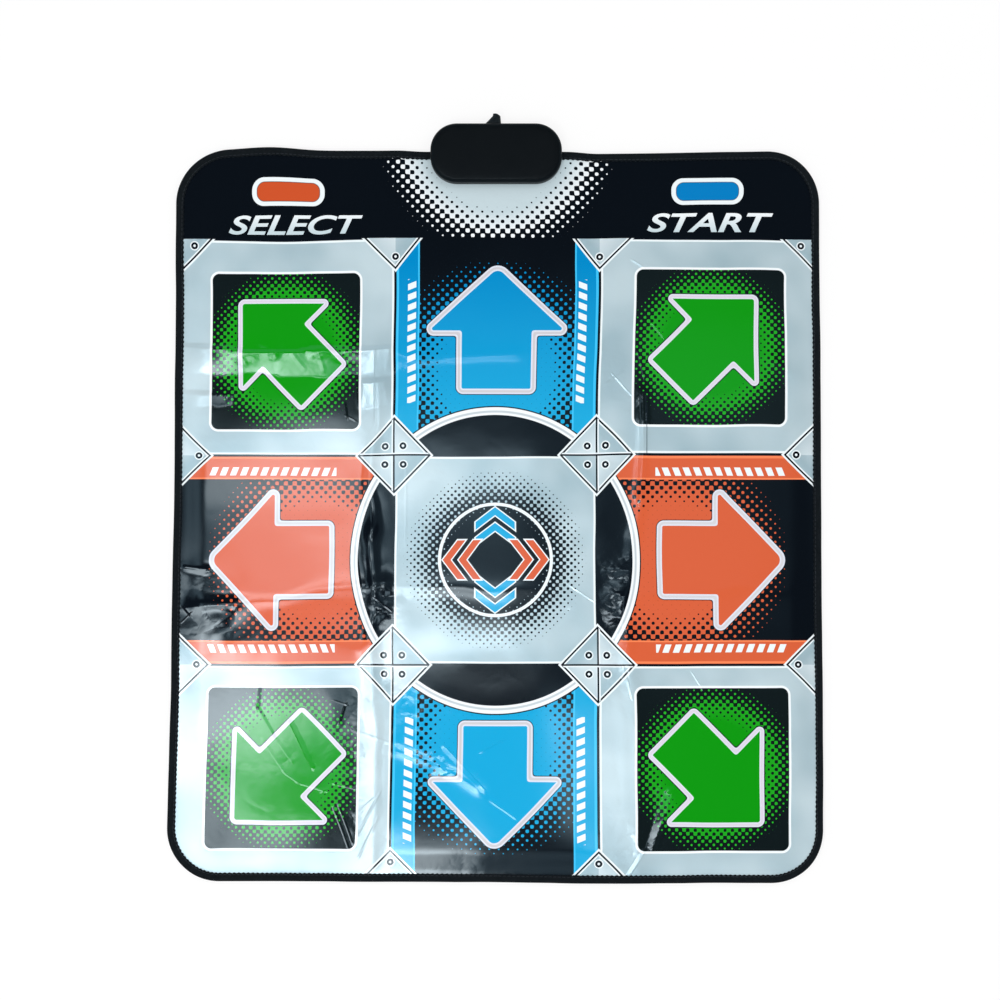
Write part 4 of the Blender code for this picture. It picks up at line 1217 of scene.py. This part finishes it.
# places, inward directions and lengths along the mat's rim, from one side of the box round to the other
def rimPath(step, inset=0.0):
    wide, long, radius = matShape["halfWidth"], matShape["halfLength"], matShape["cornerRadius"]
    boxSide = lidHigh.x + 0.0005
    runs = []

    def straight(a, b, inward):
        parts = round(math.dist(a, b) / step)
        for k in range(parts):
            runs.append((a[0] + (b[0] - a[0]) * k / parts, a[1] + (b[1] - a[1]) * k / parts, *inward))

    def corner(x, y, first):
        parts = round(radius * math.pi / 2 / step)
        for k in range(parts):
            angle = first - math.pi / 2 * k / parts
            runs.append((x + radius * math.cos(angle), y + radius * math.sin(angle),
                         -math.cos(angle), -math.sin(angle)))

    straight((boxSide, long), (wide - radius, long), (0, -1))
    corner(wide - radius, long - radius, math.pi / 2)
    straight((wide, long - radius), (wide, radius - long), (-1, 0))
    corner(wide - radius, radius - long, 0)
    straight((wide - radius, -long), (radius - wide, -long), (0, 1))
    corner(radius - wide, radius - long, -math.pi / 2)
    straight((-wide, radius - long), (-wide, long - radius), (1, 0))
    corner(radius - wide, long - radius, math.pi)
    straight((radius - wide, long), (-boxSide, long), (0, -1))
    runs.append((-boxSide, long, 0, -1))
    path = np.array(runs, float)
    path[:, :2] += path[:, 2:] * inset
    steps = np.hypot(*np.diff(path[:, :2], axis=0).T)
    return path, np.concatenate([[0.0], np.cumsum(steps)])


def layBinding(settings):
    path, length = rimPath(settings["step"])
    flap, thick, crown = settings["flap"], settings["thickness"], settings["crown"]
    # inset, and height over the lower side or under the upper side
    outer = [(flap, "low", 0.0), (0.006, "low", 0.0), (0.0026, "low", 0.0), (0.0012, "low", 0.0),
             (0.0005, "low", 0.0003), (0.0001, "low", 0.0010), (0.0, "low", 0.0026),
             (0.0, "high", -0.0026), (0.0001, "high", -0.0010), (0.0005, "high", -0.0003),
             (0.0012, "high", 0.0), (0.0026, "high", 0.0), (0.0046, "high", crown), (0.0068, "high", crown),
             (0.0088, "high", 0.0), (flap, "high", 0.0)]
    inner = [(flap, "high", -thick), (0.006, "high", -thick), (0.0016, "high", -thick),
             (0.0008, "high", -0.0015), (0.0008, "low", 0.0015), (0.0016, "low", thick),
             (0.006, "low", thick), (flap, "low", thick)]
    rings = []
    scallop = settings["scallop"] * np.sin(length * 2 * math.pi / settings["scallopPitch"])
    for inset, end, rise in outer + inner:
        at = inset + (scallop if inset == flap else 0.0 * scallop)
        s, t = path[:, 0] + path[:, 2] * at, path[:, 1] + path[:, 3] * at
        x, y = layFlat(s, t)
        top = matShape["filmTop"] + lift(s, t) + settings["gap"] + thick
        z = top + rise if end == "high" else np.full(len(path), bindingLow.z + rise)
        rings.append(np.stack([x, y, z], axis=1))
    points = np.stack(rings, axis=1)
    stations, around = points.shape[:2]
    index = np.arange(stations * around).reshape(stations, around)
    a, b = index[:-1], index[1:]
    faces = np.stack([a, np.roll(a, -1, 1), np.roll(b, -1, 1), b], axis=-1).reshape(-1, 4).tolist()
    faces.append(index[0, ::-1].tolist())
    faces.append(index[-1].tolist())
    piece = plainMesh("edgeBindingTape", points.reshape(-1, 3), faces)
    thickness = {"low": 0, "high": 0.008}       # of the bound edge, for lengths across the tape
    profile = [(inset, thickness[end] + rise) for inset, end, rise in outer + inner]
    across = np.concatenate([[0.0], np.cumsum(np.hypot(*np.diff(profile, axis=0).T))])
    loops = np.zeros(len(piece.data.loops), int)
    piece.data.loops.foreach_get("vertex_index", loops)
    setLayer(piece.data, "Tape", np.stack([length[loops // around], across[loops % around]], axis=1))
    return piece, float(length[-1]), float(across[len(outer) - 1])


def onlySelect(piece):
    bpy.ops.object.select_all(action="DESELECT")
    piece.select_set(True)
    bpy.context.view_layer.objects.active = piece


def smoothByAngle(piece, degrees):
    onlySelect(piece)
    bpy.ops.object.shade_smooth_by_angle(angle=math.radians(degrees))
    return piece


setMode, pick = bpy.ops.object.mode_set, bpy.ops.mesh.select_all


# selects, in edit mode, the points that pass a test of their place
def pickPoints(piece, test):
    pick(action="DESELECT")
    setMode(mode="OBJECT")
    for vertex in piece.data.vertices:
        vertex.select = test(vertex.co)
    setMode(mode="EDIT")


# points the faces of a closed mesh outwards, and leaves edit mode
def faceOutwards():
    pick(action="SELECT")
    bpy.ops.mesh.normals_make_consistent(inside=False)
    setMode(mode="OBJECT")


def thicken(piece, name, thickness):
    wall = piece.modifiers.new(name, "SOLIDIFY")
    wall.thickness, wall.offset = thickness, -1.0
    bpy.ops.object.modifier_apply(modifier=name)


# one thread loop, as a capsule along X
def makeStitch(settings):
    bpy.ops.mesh.primitive_uv_sphere_add(segments=8, ring_count=6, radius=settings["radius"])
    stitch = bpy.context.active_object
    setMode(mode="EDIT")
    half = settings["length"] / 2 - settings["radius"]
    for sign in (-1, 1):
        pickPoints(stitch, lambda place: place.x * sign > settings["radius"] * 0.3)
        bpy.ops.transform.translate(value=(sign * half, 0, 0))
    setMode(mode="OBJECT")
    return stitch


# one mesh that holds a copy of the pattern at each place: x, y, z, turn and how steeply it climbs
def copyAlong(name, pattern, places):
    source = pattern.data
    corners = np.array([v.co for v in source.vertices])
    polygons = [tuple(p.vertices) for p in source.polygons]
    points, faces = [], []
    for k, (x, y, z, turn, climb) in enumerate(places):
        c, s = math.cos(turn), math.sin(turn)
        points.append(np.stack([
            x + corners[:, 0] * c - corners[:, 1] * s, y + corners[:, 0] * s + corners[:, 1] * c,
            z + corners[:, 2] + corners[:, 0] * climb,
        ], axis=1))
        faces += [tuple(i + k * len(corners) for i in polygon) for polygon in polygons]
    bpy.data.objects.remove(pattern)
    return plainMesh(name, np.concatenate(points), faces)


def layStitches(settings):
    path, length = rimPath(settings["step"], settings["inset"])
    count = int((length[-1] - 2 * settings["start"]) / settings["pitch"])
    at = settings["start"] + settings["pitch"] * (np.arange(count) + 0.5)
    ends = []
    for shift in (-settings["length"] / 2, settings["length"] / 2):
        s, t = (np.interp(at + shift, length, path[:, axis]) for axis in (0, 1))
        ends.append((*layFlat(s, t), lift(s, t)))
    (x0, y0, z0), (x1, y1, z1) = ends
    turn, run = np.arctan2(y1 - y0, x1 - x0), np.hypot(x1 - x0, y1 - y0)
    above = bindingSettings["gap"] + bindingSettings["thickness"] + settings["above"]
    z = matShape["filmTop"] + (z0 + z1) / 2 + above
    return copyAlong("bindingStitches", makeStitch(settings),
                     list(zip((x0 + x1) / 2, (y0 + y1) / 2, z, turn, (z1 - z0) / run)))


# over and under of a woven tape, from places along and across it in mm
def makeWeave():
    group, give, leave = startGroup("tapeWeave", {"Along": 0, "Across": 0, "Pitch": 0.8}, ["Height", "Fuzz"])
    a, b = (give[way] * (2 * math.pi) / give["Pitch"] for way in ("Along", "Across"))
    height = (a + b).math("SINE") * 0.5 + (a - b).math("SINE") * 0.3
    place = addNode(group, "CombineXYZ", {0: give["Along"], 1: give["Across"]})
    return endGroup(group, leave, Height=height, Fuzz=addNoise(group, place, 0.6, 4.0))


# fine moulded grain with slow changes of shade, from Object coordinates
def makeGrain():
    group, give, leave = startGroup("mouldedGrain", {"Scale": 900.0, "Slow": 12.0, "Place": None},
                                    ["Height", "Shade"])
    fine = addNoise(group, give["Place"], give["Scale"], 2.0)
    return endGroup(group, leave, Height=fine, Shade=addNoise(group, give["Place"], give["Slow"], 5.0))


groups["weave"], groups["grain"] = makeWeave(), makeGrain()
grainSpread = 0.1       # how far the roughness changes over a moulded piece


# colour between two shades, with moulded grain, on Object coordinates
def grainedMaterial(name, low, high, roughness, scale=900.0, slow=12.0, bump=0.0001,
                    metallic=0.0, specular=0.5):
    material, tree, base = newMaterial(name)
    place = addNode(tree, "TexCoord", {}, out="Object")
    grain = useGroup(tree, groups["grain"], Scale=scale, Slow=slow, Place=place)
    fillInputs(tree, base, {
        "Base Color": mixColours(tree, low, high, grain["Shade"]),
        "Roughness": grain["Shade"] * grainSpread + (roughness - grainSpread / 2),
        "Normal": addNode(tree, "Bump", {"Distance": bump, "Height": grain["Height"]}),
        "Metallic": metallic, "Specular IOR Level": specular,
    })
    return material


def tapeMaterial():
    material, tree, base = newMaterial("blackTape")
    along, across = (place * 1000.0 for place in layerPlace(tree, "Tape"))
    weave = useGroup(tree, groups["weave"], Along=along, Across=across, Pitch=0.8)
    fillInputs(tree, base, {
        "Base Color": mixColours(tree, ink(3, 4, 6), ink(14, 15, 18), weave["Fuzz"]),
        "Normal": addNode(tree, "Bump", {"Distance": 0.00012, "Height": weave["Height"]}),
        "Roughness": 0.62, "Specular IOR Level": 0.2,
    })
    return material


tape, tapeLength, tapeWidth = layBinding(bindingSettings)
settle(smoothByAngle(tape, 40), tapeMaterial(), node="edge_binding")
thread = grainedMaterial("blackThread", ink(20, 21, 24), ink(44, 46, 52), 0.7, scale=2500.0)
stitches = smoothByAngle(layStitches(stitchSettings), 50)
settle(stitches, thread, node="binding_stitch")

print("underside")
underSettings = {
    "studPitch": 0.016, "studRadius": 0.0024, "studFoot": 0.7, "sheetLow": 0.0012, "clear": 0.006,
    "rows": 40, "rim": 0.013, "overlap": 0.0002, "step": 0.006, "boxGap": 0.0005, "cornerSteps": 24,
}


# outline of the box grown by a distance, from its right side forwards round to its left side
def boxRim(grow, steps):
    wide, deep, radius = (lidShape[name] + grow for name in ("wide", "deep", "cornerRadius"))
    points = []
    for sign in (1, -1):
        for k in range(steps + 1):
            angle = math.pi / 2 * k / steps if sign > 0 else math.pi / 2 * (1 - k / steps)
            points.append((sign * (wide - radius + radius * math.cos(angle)),
                           lidShape["middle"] - deep + radius - radius * math.sin(angle)))
    return points


def layUnderside(settings):
    low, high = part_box("bottom_cover")
    path, _ = rimPath(settings["step"], rimInset)
    box = [p for p in reversed(boxRim(settings["boxGap"], settings["cornerSteps"])) if p[1] < high.y - 0.002]
    outline = [tuple(p[:2]) for p in path] + box
    x, y = layFlat(*np.array(outline).T)
    count = len(outline)
    points = [(a, b, z) for z in (settings["sheetLow"], high.z) for a, b in zip(x, y)]
    faces = [tuple(range(count)), tuple(range(2 * count - 1, count - 1, -1))]
    faces += [(i, (i + 1) % count, (i + 1) % count + count, i + count) for i in range(count)]
    sheet = plainMesh("undersideSheet", points, faces)
    radius, depth = settings["studRadius"], settings["sheetLow"] + settings["overlap"]
    bpy.ops.mesh.primitive_cone_add(vertices=6, radius1=radius * settings["studFoot"], radius2=radius,
                                    depth=depth)
    stud = bpy.context.active_object
    pitch, places = settings["studPitch"], []
    for row in range(-settings["rows"], settings["rows"] + 1):
        for column in range(-settings["rows"], settings["rows"] + 1):
            a, b = (column + 0.5 * (row % 2)) * pitch, row * pitch * math.sqrt(0.75)
            here = np.array(a), np.array(b)
            if fromRim(*here) < -settings["rim"] and fromBox(*here) > settings["clear"]:
                x, y = layFlat(*here)
                places.append((float(x), float(y), depth / 2, 0.0, 0.0))
    return sheet, copyAlong("undersideStuds", stud, places)


sheet, studs = layUnderside(underSettings)
gripMaterial = grainedMaterial("gripSheet", ink(34, 35, 38), ink(52, 53, 57), 0.78, scale=600.0, bump=0.0002)
settle(sheet, gripMaterial, node="bottom_cover")
settle(studs, gripMaterial)

print("control box")
lidSettings = {
    "sides": 176, "edgeRadius": 0.0055, "edgeRings": 7, "wall": 0.0018, "crown": 0.0003,
    "slotTop": matShape["filmTop"] + 0.0004,
}


# a point at that share of the way round a rounded rectangle
def roundedPlace(share, wide, deep, radius):
    sides = (2 * (deep - radius), math.pi / 2 * radius, 2 * (wide - radius), math.pi / 2 * radius)
    left = share * 2 * sum(sides)
    for k in range(8):
        quarter = k // 2
        c, s = math.cos(quarter * math.pi / 2), math.sin(quarter * math.pi / 2)
        a, b = (wide, deep) if quarter % 2 == 0 else (deep, wide)
        if left <= sides[k % 4]:
            if k % 2 == 0:
                px, py = a, -(b - radius) + left
            else:
                angle = left / radius
                px, py = a - radius + radius * math.cos(angle), b - radius + radius * math.sin(angle)
            return px * c - py * s, px * s + py * c
        left -= sides[k % 4]
    return wide, -(deep - radius)


def makeLid(settings):
    bpy.ops.mesh.primitive_circle_add(vertices=settings["sides"], radius=lidShape["deep"], fill_type="NGON")
    lid = bpy.context.active_object
    lid.name = "boxLid"
    for k, vertex in enumerate(lid.data.vertices):
        x, y = roundedPlace(k / settings["sides"], lidShape["wide"], lidShape["deep"],
                            lidShape["cornerRadius"])
        vertex.co = (x, lidShape["middle"] + y, lidLow.z)
    setMode(mode="EDIT")
    pick(action="SELECT")
    bpy.ops.mesh.extrude_region_move(TRANSFORM_OT_translate={"value": (0, 0, lidHigh.z - lidLow.z)})
    pickPoints(lid, lambda place: place.z > lidHigh.z - 0.0005)
    bpy.ops.mesh.bevel(offset=settings["edgeRadius"], segments=settings["edgeRings"], affect="EDGES")
    pickPoints(lid, lambda place: place.z > lidHigh.z - 0.00001)
    for inset, rise in ((0.004, 0.4), (0.007, 0.4), (0.010, 0.2)):
        bpy.ops.mesh.inset(thickness=inset)
        bpy.ops.transform.translate(value=(0, 0, settings["crown"] * rise))
    faceOutwards()
    thicken(lid, "wall", settings["wall"])
    for vertex in lid.data.vertices:
        if vertex.co.z < lidLow.z + 0.0005 and vertex.co.y < matShape["halfLength"] - 0.0006:
            vertex.co.z = settings["slotTop"]
    return smoothByAngle(lid, 32)


bootSettings = {
    "sides": 40, "squareness": 0.8,
    # place along, half width, half height, shift to the side
    "sections": (
        (-0.0046, 0.0090, 0.0056, 0.0), (-0.0029, 0.0090, 0.0056, 0.0), (-0.0027, 0.0062, 0.0043, 0.0),
        (0.0002, 0.0062, 0.0043, 0.0), (0.0004, 0.0102, 0.0064, -0.0039), (0.0016, 0.0098, 0.0064, -0.0036),
        (0.0034, 0.0088, 0.0060, -0.0027), (0.0060, 0.0074, 0.0055, -0.0015),
        (0.0088, 0.0060, 0.0050, -0.0004), (0.0108, 0.0049, 0.0047, 0.0004),
        (0.0124, 0.0037, 0.0043, -0.0004), (0.0136, 0.0028, 0.0034, -0.0013),
        (0.0136, 0.0019, 0.0022, -0.0013), (0.0070, 0.0019, 0.0022, 0.0),
    ),
}


def makeBoot(settings):
    low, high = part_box("cord_boot")
    middle = (low.z + high.z) / 2
    bpy.ops.mesh.primitive_circle_add(vertices=settings["sides"], radius=1.0, fill_type="NGON",
                                      rotation=(math.pi / 2, 0, 0))
    boot = bpy.context.active_object
    boot.name = "cordBoot"
    bpy.ops.object.transform_apply(location=True, rotation=True, scale=True)
    setMode(mode="EDIT")
    pick(action="SELECT")
    for _ in settings["sections"][1:]:
        bpy.ops.mesh.extrude_region_move(TRANSFORM_OT_translate={"value": (0, 1.0, 0)})
    setMode(mode="OBJECT")
    for vertex in boot.data.vertices:
        along, halfWidth, halfHeight, shift = settings["sections"][round(vertex.co.y)]
        angle = math.atan2(vertex.co.z, vertex.co.x)
        c, s = (math.copysign(abs(way) ** settings["squareness"], way)
                for way in (math.cos(angle), math.sin(angle)))
        vertex.co = (shift + halfWidth * c, lidHigh.y + along, middle + halfHeight * s)
    setMode(mode="EDIT")
    faceOutwards()
    return smoothByAngle(boot, 40)


boxPlastic = grainedMaterial("boxPlastic", ink(4, 7, 10), ink(8, 11, 14), 0.42, scale=1400.0, bump=0.00006,
                             specular=0.12)
bootRubber = grainedMaterial("bootRubber", ink(6, 8, 10), ink(12, 14, 16), 0.55, scale=1800.0, specular=0.3)
settle(makeLid(lidSettings), boxPlastic, node="box_upper_shell")
settle(makeBoot(bootSettings), bootRubber, node="cord_boot")

print("button words")
# generic names of the two buttons: left end, right end, foot and head of the word in mm
wordPlaces = {"SELECT": (-346.6, -171.4, 358.7, 382.1), "START": (190.3, 355.6, 360.9, 385.9)}
wordSettings = {
    "size": 0.03, "bolder": 0.0006, "slant": 0.3, "above": 0.0001,
    "thickness": 0.00008, "cell": 4.0,
}


def printWord(text, left, right, foot, head, settings):
    bpy.ops.object.text_add(location=(0, 0, 0))
    word = bpy.context.active_object
    word.data.body = text
    word.data.size, word.data.offset = settings["size"], settings["bolder"]
    word.data.shear = settings["slant"]
    bpy.ops.object.convert(target="MESH")
    word.name = text.lower() + "Word"
    places = np.array([v.co[:2] for v in word.data.vertices])
    low, high = places.min(0), places.max(0)
    for vertex in word.data.vertices:
        x = left + (right - left) * (vertex.co.x - low[0]) / (high[0] - low[0])
        y = foot + (head - foot) * (vertex.co.y - low[1]) / (high[1] - low[1])
        vertex.co = (x / 1000, y / 1000, 0)
    setMode(mode="EDIT")
    pick(action="SELECT")
    bpy.ops.mesh.remove_doubles(threshold=0.00005)
    # cut in cells, so that the word can follow the film
    for axis, ends in ((0, (left, right)), (1, (foot, head))):
        for k in range(1, round((ends[1] - ends[0]) / settings["cell"])):
            cut, way = [0.0, 0.0, 0.0], [0.0, 0.0, 0.0]
            cut[axis], way[axis] = (ends[0] + settings["cell"] * k) / 1000, 1.0
            pick(action="SELECT")
            bpy.ops.mesh.bisect(plane_co=cut, plane_no=way)
    setMode(mode="OBJECT")
    flat = np.array([v.co[:2] for v in word.data.vertices])
    for vertex, place in zip(word.data.vertices, layPoint(*flat.T, settings["above"])):
        vertex.co = place
    setLayer(word.data, "Print", np.array([flat[loop.vertex_index] for loop in word.data.loops]) + 0.5)
    for polygon in word.data.polygons:
        polygon.use_smooth = True
    if sum(p.normal.z for p in word.data.polygons) < 0:
        word.data.flip_normals()
    onlySelect(word)
    thicken(word, "inkFilm", settings["thickness"])
    return smoothByAngle(word, 40)


def wordMaterial():
    sheet = PrintSheet("wordPrint")
    sheet.colour = sheet.shade("silver", "ring", ((sheet.along - 362.0) / 24.0).unit())
    return sheet.finish()


wordInk = wordMaterial()
for text, place in wordPlaces.items():
    settle(printWord(text, *place, wordSettings), wordInk)

print("pieces inside the mat and the box")
insideFinishes = {
    # two shades, roughness, metallic
    "lower_film": ((170, 180, 176), (196, 204, 200), 0.35, 0.0),
    "upper_film": ((170, 180, 176), (196, 204, 200), 0.35, 0.0),
    "spacer_foam": ((70, 72, 76), (96, 98, 102), 0.9, 0.0),
    "box_lower_shell": ((17, 19, 22), (24, 26, 29), 0.45, 0.0),
    "circuit_board": ((22, 84, 44), (34, 104, 56), 0.4, 0.0),
    "controller_chip": ((18, 18, 20), (30, 30, 32), 0.6, 0.0),
    "board_crystal": ((190, 190, 194), (214, 214, 218), 0.28, 1.0),
    "board_capacitor": ((20, 24, 60), (34, 38, 80), 0.4, 0.0),
    "cord_connector": ((222, 218, 204), (238, 234, 222), 0.5, 0.0),
    "tail_clamp": ((218, 214, 200), (234, 230, 218), 0.5, 0.0),
    "tail_pressure_pad": ((24, 24, 26), (36, 36, 38), 0.8, 0.0),
    "screw": ((150, 150, 154), (186, 186, 190), 0.32, 1.0),
    "contact": ((188, 190, 194), (216, 218, 222), 0.4, 0.9),
}
# step along the outlines, how far in the pieces move with the binding and from where they stay as they are,
# how much wider the windows are, and how near a window's edge is found, all in m
insideSettings = {"step": 0.02, "moved": 0.015, "still": 0.045, "roomier": 0.006, "near": 0.0015}


# where a point of a flat inner piece lies: its rim follows the binding, and its windows are wider,
# since the print lies a few mm off them
def insidePlace(s, t, settings):
    for switch in switches.values():
        (x, y), (halfX, halfY) = switch["middle"], switch["half"]
        if abs(s - x) < halfX + settings["near"] and abs(t - y) < halfY + settings["near"]:
            wider = settings["roomier"]
            return s + math.copysign(wider, s - x), t + math.copysign(wider, t - y)
    x, y = layFlat(np.array(s), np.array(t))
    inward = settings["still"] - settings["moved"]
    share = eased(np.clip((fromRim(s, t) + settings["still"]) / inward, 0, 1))
    return float(s + (x - s) * share), float(t + (y - t) * share)


def layInside(name, nodeName, settings):
    low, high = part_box(nodeName)
    solid, shape, corners = bmesh.new(), bmesh.new(), {}
    solid.from_mesh(nodes[nodeName].data)
    bmesh.ops.remove_doubles(solid, verts=solid.verts[:], dist=1e-6)
    for edge in solid.edges:
        a, b = (vertex.co for vertex in edge.verts)
        if min(a.z, b.z) < high.z - 1e-6 or all(abs(face.normal.z) > 0.5 for face in edge.link_faces):
            continue
        parts = max(1, round((b - a).length / settings["step"]))
        run = []
        for k in range(parts + 1):
            s, t, _ = a.lerp(b, k / parts)
            key = (round(s, 6), round(t, 6))
            if key not in corners:
                corners[key] = shape.verts.new((*insidePlace(s, t, settings), high.z))
            run.append(corners[key])
        for pair in zip(run, run[1:]):
            shape.edges.new(pair)
    bmesh.ops.triangle_fill(shape, use_beauty=True, edges=shape.edges[:])
    made = bmesh.ops.extrude_face_region(shape, geom=shape.faces[:], use_keep_orig=True)
    lower = [item for item in made["geom"] if isinstance(item, bmesh.types.BMVert)]
    bmesh.ops.translate(shape, verts=lower, vec=(0.0, 0.0, low.z - high.z))
    bmesh.ops.recalc_face_normals(shape, faces=shape.faces[:])
    mesh = bpy.data.meshes.new(name)
    shape.to_mesh(mesh)
    solid.free()
    shape.free()
    return newPiece(name, mesh)


finishes = {}
for key, (low, high, roughness, metallic) in insideFinishes.items():
    finishes[key] = grainedMaterial(key + "Finish", ink(*low), ink(*high), roughness,
                                    metallic=metallic, slow=40.0)
for nodeName, piece in nodes.items():
    key = next((k for k in finishes if k == nodeName or k in nodeName), None)
    if key:
        piece.data.materials.clear()
        piece.data.materials.append(finishes[key])
for name, nodeName, slot in (("lowerCircuitFilm", "lower_film", "circuit_film"),
                             ("foamSpacer", "spacer_foam", "spacer_foam"),
                             ("upperCircuitFilm", "upper_film", "circuit_film")):
    settle(layInside(name, nodeName, insideSettings), finishes[nodeName], node=nodeName)
low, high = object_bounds()
